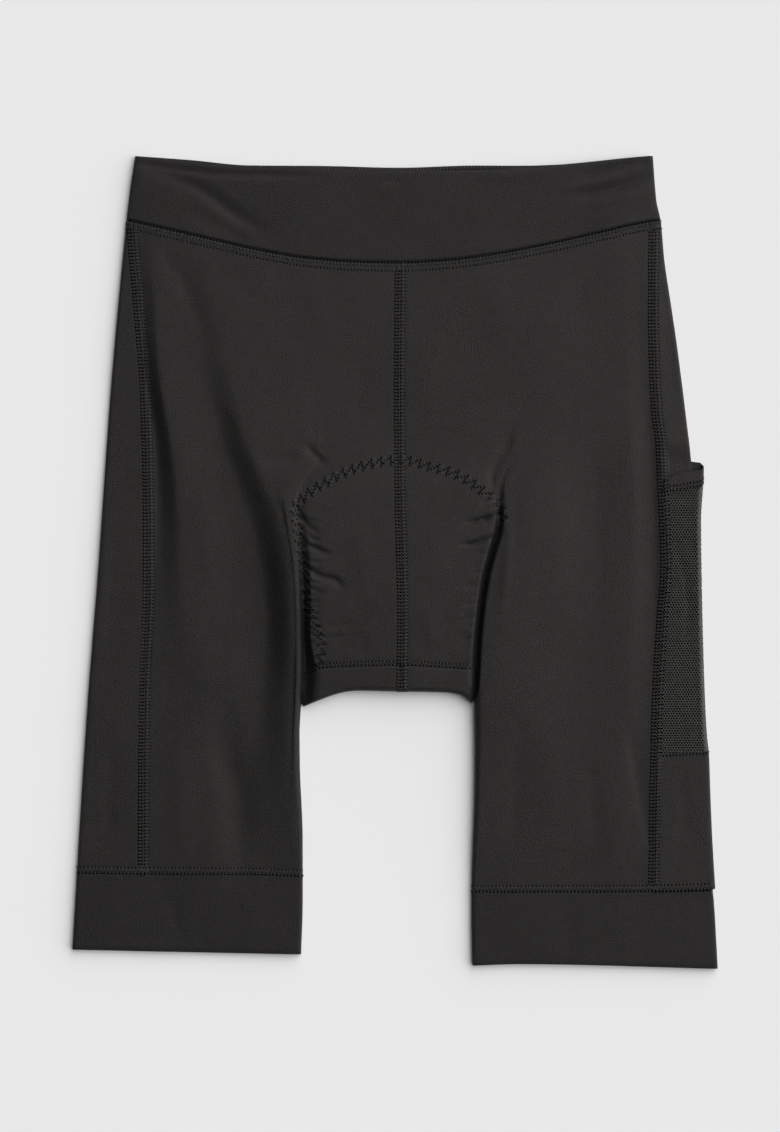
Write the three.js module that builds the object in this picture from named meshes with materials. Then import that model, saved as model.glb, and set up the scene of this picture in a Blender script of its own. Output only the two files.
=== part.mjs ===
// Cycling shorts with a seat pad and one net side pocket, laid flat with the front side up.
// Millimetres, +Z up. +Y points to the waist and +X to the wearer's left leg.
// The cloth rests on z = 0. The back layer is flat there and the front layer lies on it.
import * as THREE from "three";

// Driving dimensions.
const CLOTH = 1.2; // wall of the jersey panels
const BAND = 1.5; // wall of the doubled waistband and hem bands
const NET = 1.0; // wall of the pocket net
const BINDING = 1.2; // wall of the binding at the pocket mouth
const SEAM_GAP = 0.3; // between two pieces that are sewn together
const WAIST_GAP = 0.4; // along the curved waist seam
const MOUTH_GAP = 0.5; // between the pocket's pieces, whose seams run slantwise over the fold
const EDGE_FOLD = 2.2; // how far the rounded outer fold reaches in from the outline
const PAD_FLOOR = CLOTH + SEAM_GAP; // the seat pad and the front layer stay above the back layer
const POCKET_LIFT = NET + SEAM_GAP; // the side panel lies this deep below the pocket
const INSEAM_IN = 8; // the inseam lies on the underside, this far in from the leg's inner fold
const CROTCH_Y = -97; // the legs part below this line
const WAIST_BLEND_Y = 140; // rows follow the curved waist seam above this line
const PAD_EDGE = 0.35; // height of the pad's rim as a share of its full height
const PAD_RIM = 9; // width of the pad's rounded rim

// A table with named columns: the first argument names them, each further one is a row.
function table(columns, ...rows) {
  const names = columns.split(" ");
  return rows.map((row) => Object.fromEntries(row.map((v, i) => [names[i], v])));
}

const clamp = (v, low, high) => Math.min(high, Math.max(low, v));
const mix = (a, b, t) => a + (b - a) * t;
const smooth = (t) => t * t * (3 - 2 * t);
const ramp = (v, from, to) => smooth(clamp((v - from) / (to - from), 0, 1));

// A smooth curve through a table's rows that never swings past them.
function curve(rows, value, along = "y") {
  const p = rows.map((r) => [r[along], r[value]]).sort((a, b) => a[0] - b[0]);
  const last = p.length - 1;
  const step = (i) => (p[i + 1][1] - p[i][1]) / (p[i + 1][0] - p[i][0]);
  const slopes = p.map((_, i) => {
    if (i === 0) return step(0);
    if (i === last) return step(last - 1);
    const [a, b] = [step(i - 1), step(i)];
    return a * b <= 0 ? 0 : (2 * a * b) / (a + b);
  });
  return (at) => {
    if (at <= p[0][0]) return p[0][1];
    if (at >= p[last][0]) return p[last][1];
    let i = 0;
    while (at > p[i + 1][0]) i++;
    const width = p[i + 1][0] - p[i][0];
    const t = (at - p[i][0]) / width;
    const bend = width * t * (1 - t) * ((1 - t) * slopes[i] - t * slopes[i + 1]);
    return mix(p[i][1], p[i + 1][1], smooth(t)) + bend;
  };
}

const line = (rows) => ({ x: curve(rows, "x"), z: curve(rows, "z") });

// Seams and edges that run across the garment.
const waistSeam = curve(
  table("x y", [-183, 233], [-148, 225], [-122, 219], [-89, 211.7], [-58, 206.7], [-28, 204.4],
    [2, 203.8], [32, 205.2], [63, 208.9], [92, 214.1], [141, 224.8], [162, 229.8], [181, 233.2]),
  "y", "x");
const frontTop = curve(
  table("x y", [-177, 276], [-139, 271.6], [-99, 268.4], [-48, 267.4], [3, 266.4], [54, 266.6],
    [85, 268], [126, 271.4], [156, 274.6], [176, 276.4]),
  "y", "x");
const backTop = curve(
  table("x y", [-177, 276.4], [-139, 273.6], [-99, 270], [-48, 269.6], [3, 268.4], [54, 269.9],
    [85, 269.8], [126, 271.4], [156, 274.8], [176, 276.4]),
  "y", "x");
const crossSeam = curve(
  table("x y", [-58.5, -76.4], [-49.6, -72.3], [-23.8, -70.9], [3.4, -70.2], [30.6, -71.6],
    [52.4, -73]),
  "y", "x");
const crotchEdge = curve(
  table("x y", [-63.9, -99.5], [-51, -94], [-34, -88.6], [-27, -87.8], [3.4, -88.3], [34, -88.9],
    [44, -90.4], [53.7, -96.8]),
  "y", "x");

const centre = line(
  table("y x z", [277, 3.7, 4.8], [233, 3.7, 5.2], [178, 3.4, 5.6], [110, 3.1, 6.1], [83, 3.2, 6.6],
    [68, 3.3, 7.6], [51, 3.4, 9.2], [15, 4.2, 10.6], [-12, 5, 11.2], [-34, 5.3, 11.5],
    [-67, 5, 11], [-97, 4.8, 9.4]));

// The wearer's right side, at negative X. Each line follows the crest or the foot of a fold from
// the waist to the hem: its place x and the height z of the front layer, at each y where it bends.
const right = {
  name: "right",
  inward: 1,
  outline: curve(
    table("y x", [276, -177], [246, -181.3], [205, -185.6], [110, -194.1], [1, -201.7],
      [-94, -209.2], [-169, -214.1], [-265, -219.8]),
    "x"),
  edgeHeight: curve(
    table("y z", [277, 4.4], [233, 4.4], [110, 3.8], [51, 3.7], [-34, 3.8], [-97, 4],
      [-189, 4.2], [-265, 4.4]),
    "z"),
  innerEdge: curve(
    table("y x", [-97, -63.9], [-118, -64.9], [-138, -64.7], [-189, -62.8], [-230, -62.8],
      [-267, -63.9]),
    "x"),
  innerFold: curve(table("y width", [-97, 3.6], [-150, 3.4], [-213, 2.4], [-267, 2.3]), "width"),
  backSeam: curve(
    table("y x", [233, -140], [110, -150], [0, -158], [-97, -164], [-213, -171]), "x"),
  hemSeam: curve(
    table("x y", [-216, -211.4], [-169, -212], [-124, -212.3], [-95, -212.5], [-64, -213.6]),
    "y", "x"),
  hemEdge: curve(table("x y", [-220, -264], [-64, -267.2]), "y", "x"),
  lines: {
    seam: line(
      table("y x z", [277, -174, 4.6], [233, -178.6, 4.6], [178, -174.5, 4.5], [110, -169.5, 4],
        [51, -168, 3.8], [-12, -167.5, 3.8], [-97, -170.5, 4.3], [-212, -171, 4.6],
        [-265, -171, 4.5])),
    foot: line(
      table("y x z", [277, -166, 4.8], [233, -171, 4.8], [178, -168.5, 4.5], [144, -165.5, 4.1],
        [110, -162.5, 3.8], [73, -160.5, 3.6], [39, -160, 3.6], [0, -161.5, 3.7],
        [-34, -162, 4], [-97, -160, 4.4], [-140, -152, 4.6], [-213, -150, 4.6],
        [-265, -150, 4.5])),
    bulge: line(
      table("y x z", [277, -156, 4.8], [233, -160, 5], [178, -155, 5.8], [144, -148.5, 6.8],
        [110, -143.5, 7.8], [73, -141, 8.6], [39, -140, 8.8], [0, -139, 8.4],
        [-34, -137, 7.6], [-97, -124, 6.8], [-189, -119, 6.2], [-213, -118, 4.9],
        [-265, -118, 4.6])),
    hollow: line(
      table("y x z", [277, -144, 4.8], [233, -146, 4.9], [178, -141, 5.3], [144, -133, 5.5],
        [115, -126, 5.4], [82, -111, 5], [43, -96.5, 4.4], [20, -90.5, 4.2],
        [-18, -88.5, 4.3], [-94, -86.5, 4.8], [-189, -82, 4.7], [-213, -82, 4.6],
        [-265, -82, 4.5])),
    shoulder: line(
      table("y x z", [277, -125, 4.8], [233, -126, 5.1], [178, -122, 5.9], [144, -116, 6.5],
        [115, -109, 7.5], [82, -92, 8.6], [43, -78, 9.6], [20, -75.5, 10], [-18, -72.5, 10],
        [-94, -73.5, 8.4], [-151, -73, 7], [-189, -71, 6], [-213, -71, 4.7],
        [-265, -71, 4.6])),
    crest: line(
      table("y x z", [277, -92, 4.8], [233, -95, 5.1], [178, -86, 5.9], [121, -70, 6.6],
        [89, -62.5, 7.6], [68, -62.5, 8.8], [51, -70.5, 10], [39, -73.2, 10.8],
        [28, -71.5, 11.2], [1, -68, 11.6], [-26, -66.3, 11.6], [-67, -67.2, 10.8],
        [-97, -67.5, 9.2], [-135, -68, 7.6], [-189, -66, 6.2], [-213, -65.2, 4.8],
        [-265, -66.2, 4.6])),
    groove: line(
      table("y x z", [277, -60, 4.8], [233, -62, 5.2], [178, -54.5, 5.8], [110, -47.5, 6.3],
        [73, -50, 7.4], [51, -62.5, 7.2], [39, -66.3, 6], [28, -65.6, 5.4], [15, -64, 4.8],
        [-5, -61.8, 4.2], [-34, -60.5, 3.4], [-67, -59.8, 3.2], [-80, -60.5, 3.2],
        [-97, -63.4, 3.3])),
    pad: line(
      table("y x z", [277, -36, 4.8], [233, -37, 5.2], [178, -29, 5.8], [110, -25, 6.3],
        [73, -31, 7.4], [51, -47.5, 9.4], [39, -56.5, 10.2], [15, -52.4, 10.8],
        [-12, -49.6, 11], [-34, -47, 10.8], [-53, -41, 10.2], [-67, -41, 9.8],
        [-97, -45.5, 8.6])),
  },
  divisions: { seam: 1, foot: 2, bulge: 2, hollow: 2, shoulder: 1, crest: 2, groove: 2, pad: 4 },
};

// The wearer's left side, at positive X, with the pocket.
const left = {
  name: "left",
  inward: -1,
  outline: curve(
    table("y x", [276, 175.6], [246, 178], [232, 181], [205, 183.5], [178, 187.5], [151, 191.5],
      [110, 196.8], [69, 201.6], [55, 203], [28, 204.5], [-26, 206.3], [-67, 207.4],
      [-118, 209.8], [-160, 212.3], [-219, 215.8], [-232, 217.2], [-277, 219.8]),
    "x"),
  pocketOutline: curve(
    table("y x", [80, 209.9], [56, 209.7], [28, 208.2], [-26, 208.9], [-94, 210.9],
      [-118, 212.2], [-129, 213.4], [-159, 214.5], [-189, 215.8], [-222, 217.8]),
    "x"),
  edgeHeight: curve(
    table("y z", [277, 4.4], [233, 4.4], [110, 4.8], [60, 5.6], [0, 5.8], [-100, 5.8],
      [-190, 5.6], [-221, 5.2], [-235, 4.6], [-277, 4.4]),
    "z"),
  innerEdge: curve(
    table("y x", [-97, 53.9], [-128, 54.3], [-159, 54], [-189, 53.1], [-220, 52.2],
      [-240, 52.1], [-275, 52.7]),
    "x"),
  innerFold: curve(table("y width", [-97, 5.6], [-135, 4.4], [-189, 3.2], [-225, 2.4]), "width"),
  backSeam: curve(
    table("y x", [233, 139], [110, 153], [0, 161], [-97, 166], [-225, 172]), "x"),
  hemSeam: curve(
    table("x y", [52, -224.2], [136, -224.2], [180, -223.7], [218, -222.6]),
    "y", "x"),
  hemEdge: curve(table("x y", [52.7, -274.8], [85, -273.8], [219.8, -277]), "y", "x"),
  lines: {
    seam: line(
      table("y x z", [277, 172, 4.6], [233, 176.2, 4.8], [178, 175.6, 5.2], [144, 176.2, 5.4],
        [101, 178.2, 5.6], [81, 180.9, 5.8], [52, 182.2, 5.9], [22, 183.6, 5.9],
        [-3, 184.3, 5.9], [-37, 181.9, 5.9], [-93, 178.5, 5.8], [-131, 177.5, 5.7],
        [-198, 176.3, 5.4], [-225, 176.1, 4.9], [-277, 176, 4.6])),
    low: line(
      table("y x z", [277, 162, 4.8], [233, 168, 4.9], [178, 169, 5.3], [110, 171, 5.4],
        [60, 173.5, 4.9], [-18, 174.5, 5], [-80, 172, 5.6], [-189, 170, 5.3],
        [-225, 169, 4.8], [-277, 169, 4.6])),
    bulge: line(
      table("y x z", [277, 150, 4.8], [233, 154, 5.2], [178, 155, 5.8], [110, 157, 6.6],
        [60, 157, 7.2], [0, 157, 7.4], [-56, 155, 7.2], [-135, 152, 6.8], [-189, 150, 6.3],
        [-225, 150, 4.9], [-277, 150, 4.6])),
    hollow: line(
      table("y x z", [277, 132, 4.8], [233, 134, 5.2], [178, 136, 5.6], [110, 137, 6.1],
        [60, 137.4, 6.2], [-56, 136, 6.3], [-135, 134, 6.2], [-189, 133, 5.7],
        [-225, 133, 4.8], [-277, 133, 4.6])),
    crest: line(
      table("y x z", [277, 90, 4.8], [233, 92, 5.2], [178, 95, 5.8], [110, 98.5, 6.8],
        [73, 96, 8], [51, 92, 9], [39, 89, 9.4], [21, 85.5, 10], [4, 79.5, 10.4],
        [-12, 76, 10.6], [-33, 72.5, 10.4], [-53, 69, 10], [-75, 63.5, 9.6],
        [-97, 59.5, 9], [-135, 58.7, 7.4], [-189, 56.3, 6.2], [-225, 54.6, 4.9],
        [-277, 55.1, 4.6])),
    groove: line(
      table("y x z", [277, 62, 4.8], [233, 65, 5.2], [178, 71.5, 5.8], [110, 79.5, 6.4],
        [73, 81, 7.2], [51, 76.5, 7.2], [39, 74.8, 6.2], [28, 73.8, 5.4], [21, 72.8, 4.8],
        [4, 65.3, 4], [-12, 61.2, 3.4], [-33, 58, 3.2], [-53, 56.1, 3.2], [-87, 54.4, 3.3],
        [-97, 53.4, 3.3])),
    pad: line(
      table("y x z", [277, 42, 4.8], [233, 43, 5.2], [178, 48, 5.8], [110, 50, 6.3],
        [73, 51, 7.6], [51, 56, 9.4], [39, 63, 10.2], [28, 62, 10.6], [15, 58, 10.8],
        [-12, 50.5, 11], [-34, 47, 10.8], [-53, 44.5, 10.4], [-67, 43.5, 9.8],
        [-97, 42, 8.6])),
  },
  divisions: { seam: 1, low: 2, bulge: 1, hollow: 3, crest: 2, groove: 2, pad: 4 },
};

// The outermost cloth's outline: the pocket's where there is one.
const pocketFrom = 80;
left.outerOutline = (y) =>
  y < pocketFrom && y > left.hemSeam(218) ? Math.max(left.pocketOutline(y), left.outline(y))
    : left.outline(y);
right.outerOutline = right.outline;

for (const side of [right, left]) {
  const free = side.lines.crest;
  // In the leg the crest is the top of the rounded inner fold.
  side.lines.crest = {
    x: (y) => (y > CROTCH_Y ? free.x(y) : side.innerEdge(y) - side.inward * side.innerFold(y)),
    z: free.z,
  };
  const edge = {
    x: (y) => side.outerOutline(y) + side.inward * EDGE_FOLD,
    z: side.edgeHeight,
  };
  side.across = [edge, ...Object.values(side.lines), centre];
}

// Height of the front layer's upper face.
function height(side, x, y) {
  const at = side.across;
  let i = 0;
  while (i < at.length - 2 && (x - at[i + 1].x(y)) * side.inward > 0) i++;
  const [from, to] = [at[i].x(y), at[i + 1].x(y)];
  return mix(at[i].z(y), at[i + 1].z(y), smooth(clamp((x - from) / (to - from), 0, 1)));
}

// How many times thicker a sloping wall is when it is measured straight down.
function slopeFactor(side, x, y) {
  const reach = 1;
  const dx = (height(side, x + reach, y) - height(side, x - reach, y)) / (2 * reach);
  const dy = (height(side, x, y + reach) - height(side, x, y - reach)) / (2 * reach);
  return Math.hypot(1, dx, dy);
}

const V = (x, y, z) => new THREE.Vector3(x, y, z);

// A point of the front layer: the outer face, and the inner face below it.
function topPoint(side, x, y, wall, drop = 0) {
  const z = height(side, x, y) - drop;
  const inner = Math.max(z - wall * slopeFactor(side, x, y), PAD_FLOOR);
  return { outer: V(x, y, z), inner: V(x, y, inner) };
}

const underPoint = (x, y, wall, lift = 0) => ({ outer: V(x, y, lift), inner: V(x, y, lift + wall) });

// A point of a rounded fold, an upright half ellipse from the front layer (90) to the back (-90).
// tip is the fold's outermost x, outwards is its direction and reach its width.
function foldPoint(tip, outwards, reach, y, degrees, wall, bottom, top) {
  const angle = THREE.MathUtils.degToRad(degrees);
  const half = (top - bottom) / 2;
  const middle = tip - outwards * reach;
  const at = (wide, high) =>
    V(middle + outwards * wide * Math.cos(angle), y, bottom + half + high * Math.sin(angle));
  return { outer: at(reach, half), inner: at(reach - wall, half - wall) };
}

// Builds a closed cloth wall from patches. A patch is a grid of points, each with its outer and
// inner place; points of two patches that coincide are joined, and every free edge is closed.
function wallGeometry(patches) {
  const positions = [];
  const ids = new Map();
  const idOf = ({ outer, inner }) => {
    const key = [...outer, ...inner].map((v) => v.toFixed(3)).join();
    if (!ids.has(key)) {
      ids.set(key, ids.size);
      positions.push(...outer, ...inner);
    }
    return ids.get(key);
  };
  const faces = [];
  for (const grid of patches) {
    const numbered = grid.map((row) => row.map(idOf));
    for (let r = 0; r + 1 < numbered.length; r++)
      for (let c = 0; c + 1 < numbered[r].length; c++)
        faces.push([numbered[r][c], numbered[r + 1][c], numbered[r + 1][c + 1], numbered[r][c + 1]]);
  }
  const edges = new Set();
  for (const f of faces) f.forEach((a, i) => edges.add(`${a} ${f[(i + 1) % 4]}`));
  const index = [];
  const outer = (id) => 2 * id;
  const inner = (id) => 2 * id + 1;
  const triangle = (a, b, c) => index.push(a, b, c);
  for (const [a, b, c, d] of faces) {
    triangle(outer(a), outer(b), outer(c));
    triangle(outer(a), outer(c), outer(d));
    triangle(inner(a), inner(c), inner(b));
    triangle(inner(a), inner(d), inner(c));
  }
  for (const f of faces)
    f.forEach((a, i) => {
      const b = f[(i + 1) % 4];
      if (edges.has(`${b} ${a}`)) return;
      triangle(outer(b), outer(a), inner(a));
      triangle(outer(b), inner(a), inner(b));
    });
  const geometry = new THREE.BufferGeometry();
  geometry.setAttribute("position", new THREE.Float32BufferAttribute(positions, 3));
  geometry.setIndex(index);
  geometry.computeVertexNormals();
  return geometry;
}

// Columns run from the outer fold inwards. Seen from above that turns the faces of the left side
// round, so its grids are mirrored.
const facing = (side, grid) => (side.inward > 0 ? grid : grid.map((row) => [...row].reverse()));

// Rows from the waist seam down, each a function of x. The seam allowance is left to the caller.
const rowFrom = {
  waist: [0, 0.15, 0.32, 0.52, 0.75].map(
    (share) => () => (x) => mix(waistSeam(x) - WAIST_GAP / 2, WAIST_BLEND_Y, share)),
  torso: [WAIST_BLEND_Y, 120, 100, 84, 70, 58, 47, 37, 27, 15, 2, -12, -27, -42, -57].map(
    (y) => () => () => y),
  cross: [() => (x) => crossSeam(x) + SEAM_GAP / 2],
  crotch: [-86, CROTCH_Y].map((y) => () => () => y),
  leg: [-113, -131, -150, -170, -191].map((y) => () => () => y),
  hem: [(side) => (x) => side.hemSeam(x) + SEAM_GAP / 2],
};
const rowsOf = (side, ...kinds) => kinds.flatMap((kind) => rowFrom[kind]).map((row) => row(side));
const TORSO_ROWS = ["waist", "torso", "cross"];
const LEG_ROWS = ["leg", "hem"];
const ALL_ROWS = [...TORSO_ROWS, "crotch", ...LEG_ROWS];

// Where a column of x(y) crosses a row of y(x).
function crossing(column, row) {
  let y = row(column(0));
  for (let i = 0; i < 4; i++) y = row(column(y));
  return [column(y), y];
}

// Columns between two named lines, each a function of y, with each line's own divisions.
function columnsBetween(side, first, last) {
  const names = [...Object.keys(side.lines), "centre"];
  const at = [...Object.values(side.lines), centre];
  const columns = [];
  for (let i = names.indexOf(first); i < names.indexOf(last); i++) {
    const steps = side.divisions[names[i]];
    for (let k = 0; k < steps; k++)
      columns.push((y) => mix(at[i].x(y), at[i + 1].x(y), k / steps));
  }
  const end = at[names.indexOf(last)];
  return [...columns, end.x];
}

const shifted = (column, by) => (y) => column(y) + by;

// Front panel: from the side seam to the centre seam, and in the leg round the inner fold to the
// inseam on the underside.
function frontPanel(side) {
  const allowance = (side.inward * SEAM_GAP) / 2;
  const toCrest = columnsBetween(side, "seam", "crest");
  toCrest[0] = shifted(toCrest[0], allowance);
  const flank = columnsBetween(side, "crest", "groove").slice(1);
  const foldAngles = [45, 0];
  const legFold = (y, degrees) =>
    foldPoint(side.innerEdge(y), side.inward, side.innerFold(y), y, degrees, CLOTH, 0,
      side.lines.crest.z(y));
  const flankPoint = (k, row) => {
    const [x, y] = crossing(flank[k], row);
    return y > CROTCH_Y ? topPoint(side, x, y, CLOTH) : legFold(y, foldAngles[k]);
  };
  const main = rowsOf(side, ...ALL_ROWS).map((row) => [
    ...toCrest.map((column) => topPoint(side, ...crossing(column, row), CLOTH)),
    ...flank.map((_, k) => flankPoint(k, row)),
  ]);
  const overPad = columnsBetween(side, "groove", "centre").slice(1);
  overPad.push(shifted(overPad.pop(), -allowance));
  const pad = rowsOf(side, ...TORSO_ROWS).map((row) => [
    flankPoint(flank.length - 1, row),
    ...overPad.map((column) => topPoint(side, ...crossing(column, row), CLOTH)),
  ]);
  const under = rowsOf(side, "crotch", ...LEG_ROWS).slice(1).map((row) => {
    const [, y] = crossing(side.innerEdge, row);
    const heelY = Math.min(y, CROTCH_Y - SEAM_GAP - 0.2);
    const inseam = side.innerEdge(heelY) - side.inward * INSEAM_IN;
    return [legFold(y, 0), legFold(y, -45), legFold(heelY, -90), underPoint(inseam, heelY, CLOTH)];
  });
  return wallGeometry([main, pad, under].map((grid) => facing(side, grid)));
}

// A ribbon round the outer fold, from the front side seam to the back one. place(y) gives its
// outline x, how far it lies below the front layer, and how far it is lifted off the ground.
const RIBBON = table("name share degrees", ["seam", 0, null], ["middle", 0.5, null],
  ["top", null, 90], ["over", null, 45], ["tip", null, 0], ["under", null, -45],
  ["heel", null, -90], ["back", 0.5, null], ["backSeam", 1, null]);

function ribbonPoint(side, station, row, wall, place) {
  const { name, share, degrees } = RIBBON[station];
  const allowance = (side.inward * SEAM_GAP) / 2;
  const start = (y) => place(y).tip + side.inward * EDGE_FOLD;
  if (degrees !== null) {
    const [x, y] = crossing(start, row);
    const { tip, drop, lift } = place(y);
    const top = height(side, x, y) - drop;
    return foldPoint(tip, -side.inward, EDGE_FOLD, y, degrees, wall, lift, top);
  }
  if (name === "seam" || name === "middle") {
    const column = (at) => mix(side.lines.seam.x(at) - allowance, start(at), share);
    const [x, y] = crossing(column, row);
    return topPoint(side, x, y, wall, place(y).drop);
  }
  const column = (at) => mix(start(at), side.backSeam(at) - allowance, share);
  const [x, y] = crossing(column, row);
  return underPoint(x, y, wall, place(y).lift);
}

// Side panel: under the pocket it lies deeper, and its underside is lifted by the pocket's wall.
function sidePanel(side) {
  const hasPocket = side === left;
  const place = (y) => ({
    tip: side.outline(y),
    drop: hasPocket ? POCKET_LIFT * (1 - ramp(y, 66, 82)) : 0,
    lift: hasPocket ? POCKET_LIFT * (1 - ramp(y, 80, 98)) : 0,
  });
  const grid = rowsOf(side, ...ALL_ROWS).map((row) =>
    RIBBON.map((_, station) => ribbonPoint(side, station, row, CLOTH, place)));
  return wallGeometry([facing(side, grid.map((row) => [...row].reverse()))]);
}

// Back panel: flat on the ground from the back side seam to the centre back seam or the inseam.
// Between the legs it rolls up round the crotch edge, as a lip that meets the cross seam.
const LIP_SHARES = [0, 0.12, 0.28, 0.5, 0.75, 1];
const LIP_ANGLES = [-45, 0, 45, 90];

function backPanel(side) {
  const allowance = (side.inward * SEAM_GAP) / 2;
  const seam = shifted(side.backSeam, allowance);
  const groinX = side.innerEdge(CROTCH_Y) - side.inward * (INSEAM_IN + SEAM_GAP);
  const groin = (y) =>
    y > CROTCH_Y ? groinX : side.innerEdge(y) - side.inward * (INSEAM_IN + SEAM_GAP);
  const outer = [0, 1 / 3, 2 / 3, 1].map((t) => (y) => mix(seam(y), groin(y), t));
  const flat = (x, y) => underPoint(x, y, CLOTH);
  const legSide = rowsOf(side, ...ALL_ROWS).map((row) =>
    outer.map((column) => flat(...crossing(column, row))));

  const lipStart = (y) => side.lines.groove.x(y) + side.inward * 0.5;
  const lipColumn = (share) => (y) => mix(lipStart(y), centre.x(y) - allowance, share);
  const lips = LIP_SHARES.map((share) => {
    const column = lipColumn(share);
    const x = column(CROTCH_Y);
    const tip = crotchEdge(x);
    const reach = clamp(0.45 * height(side, x, tip + 3), CLOTH + 0.5, 3.2);
    const foot = Math.max(tip + reach, CROTCH_Y + SEAM_GAP);
    return { column, x, reach, foot, top: height(side, x, foot) };
  });
  // Rows of the middle part: as those of the leg side, then down to the foot of the lip.
  const upper = rowsOf(side, "waist", "torso");
  const lower = rowsOf(side, "cross", "crotch");
  const middle = [...upper, ...lower].map((row, r) => {
    const downTo = r - upper.length;
    const groinPoint = flat(...crossing(groin, row));
    return [
      groinPoint,
      ...lips.map((lip, k) => {
        const column = k === lips.length - 1 ? lipColumn(1) : () => lip.x;
        if (downTo < 0) return flat(...crossing(column, row));
        const y = mix(-57, lip.foot, [0.45, 0.75, 1][downTo]);
        return flat(downTo === 2 ? lip.x : column(y), y);
      }),
    ];
  });
  const round = ({ x, foot, reach, top }, degrees) => {
    const p = foldPoint(foot - reach, -1, reach, x, degrees, CLOTH, 0, top);
    const turned = (v) => V(v.y, v.x, v.z);
    return { outer: turned(p.outer), inner: turned(p.inner) };
  };
  const lipTop = (lip, share) => {
    const toX = lip.column(crossSeam(lip.x));
    const y = mix(lip.foot, crossSeam(toX) - SEAM_GAP / 2, share);
    return topPoint(side, lip.column(y), y, CLOTH);
  };
  const roll = [
    lips.map((lip) => flat(lip.x, lip.foot)),
    ...LIP_ANGLES.map((degrees) => lips.map((lip) => round(lip, degrees))),
    ...[0.5, 1].map((share) => lips.map((lip) => lipTop(lip, share))),
  ];
  const patches = [legSide, middle, roll].map((grid) => grid.map((row) => [...row].reverse()));
  return wallGeometry(patches.map((grid) => facing(side, grid)));
}

// Hem band: a flat tube round the leg, from the hem seam to the leg's edge.
function hemBand(side) {
  const acrossTop = [0, 0.06, 0.2, 0.35, 0.5, 0.65, 0.8, 0.94, 1];
  const acrossBack = [0.25, 0.5, 0.75];
  const rows = [0, 0.5, 1].map(
    (share) => (x) => mix(side.hemSeam(x) - SEAM_GAP / 2, side.hemEdge(x), share));
  const grid = rows.map((row) => {
    const [, outerY] = crossing(side.outline, row);
    const [, innerY] = crossing(side.innerEdge, row);
    const outerFold = (degrees) =>
      foldPoint(side.outline(outerY), -side.inward, EDGE_FOLD, outerY, degrees, BAND, 0,
        height(side, side.outline(outerY) + side.inward * EDGE_FOLD, outerY));
    const innerFold = (degrees) =>
      foldPoint(side.innerEdge(innerY), side.inward, side.innerFold(innerY), innerY, degrees,
        BAND, 0, side.lines.crest.z(innerY));
    const from = (y) => side.outline(y) + side.inward * EDGE_FOLD;
    const to = (y) => side.innerEdge(y) - side.inward * side.innerFold(y);
    const top = acrossTop.slice(1, -1).map((share) =>
      topPoint(side, ...crossing((y) => mix(from(y), to(y), share), row), BAND));
    const back = acrossBack.map((share) =>
      underPoint(...crossing((y) => mix(to(y), from(y), share), row), BAND));
    return [
      outerFold(90), ...top, ...[90, 45, 0, -45, -90].map(innerFold),
      ...back, ...[-90, -45, 0, 45, 90].map(outerFold),
    ];
  });
  return wallGeometry([facing(side, grid)]);
}

// Waistband: a front and a back layer, sewn to each other at the outermost line of the folds.
const BAND_COLUMNS = 28;

function waistband(isFront) {
  const shares = Array.from({ length: BAND_COLUMNS + 1 }, (_, i) => i / BAND_COLUMNS);
  const topEdge = isFront ? frontTop : backTop;
  const start = (side) => (y) => side.outline(y) + side.inward * EDGE_FOLD;
  const rows = [0, 0.35, 0.7, 1].map(
    (share) => (x) => mix(waistSeam(x) + WAIST_GAP / 2, topEdge(x), share));
  const sign = isFront ? 1 : -1;
  const grid = rows.map((row) => {
    const fold = (side, degrees) => {
      const [x, y] = crossing(start(side), row);
      const p = foldPoint(side.outline(y), -side.inward, EDGE_FOLD, y, degrees, BAND, 0,
        height(side, x, y));
      if (degrees !== 0) return p;
      const open = V(0, 0, (sign * SEAM_GAP) / 2);
      return { outer: p.outer.add(open), inner: p.inner.add(open) };
    };
    const across = shares.map((share) => {
      const [x, y] = crossing((at) => mix(start(right)(at), start(left)(at), share), row);
      const side = x < centre.x(y) ? right : left;
      return isFront ? topPoint(side, x, y, BAND) : underPoint(x, y, BAND);
    });
    return [
      fold(right, 0), fold(right, sign * 45), fold(right, sign * 90),
      ...across.slice(1, -1),
      fold(left, sign * 90), fold(left, sign * 45), fold(left, 0),
    ];
  });
  return wallGeometry([isFront ? [...grid].reverse() : grid]);
}

// Pocket on the left side panel: where its pieces begin and end at each station of the ribbon.
const POCKET = table("mouth bindingFoot netFoot", [53.9, 46.9, -131], [60.5, 48.4, -130],
  [62.4, 50.6, -129.2], [63.6, 51.8, -128.7], [64.8, 53.1, -128.2], [66, 54.5, -128.2],
  [67.5, 56, -128.5], [72, 60.5, -129.5], [78, 66.5, -131]);

function pocketPiece(from, to, steps, wall) {
  const place = (y) => ({ tip: left.pocketOutline(y), drop: 0, lift: 0 });
  const grid = Array.from({ length: steps + 1 }, (_, i) =>
    POCKET.map((ends, station) => {
      const row = (x) => mix(from(ends) - MOUTH_GAP / 2, to(ends, x) + MOUTH_GAP / 2, i / steps);
      return ribbonPoint(left, station, row, wall, place);
    }));
  return wallGeometry([facing(left, grid.map((row) => [...row].reverse()))]);
}

// Seat pad: one rounded body between the two layers. Its outline shows as the stitched arch.
const PAD_OUTLINE = table("y right left", [61, -10, 14], [57, -27, 31], [50, -41, 46],
  [40, -52, 57], [26, -55, 60], [5, -53, 55], [-20, -50, 48], [-45, -45, 45], [-65, -42, 43],
  [-80, -38, 39]);

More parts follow.
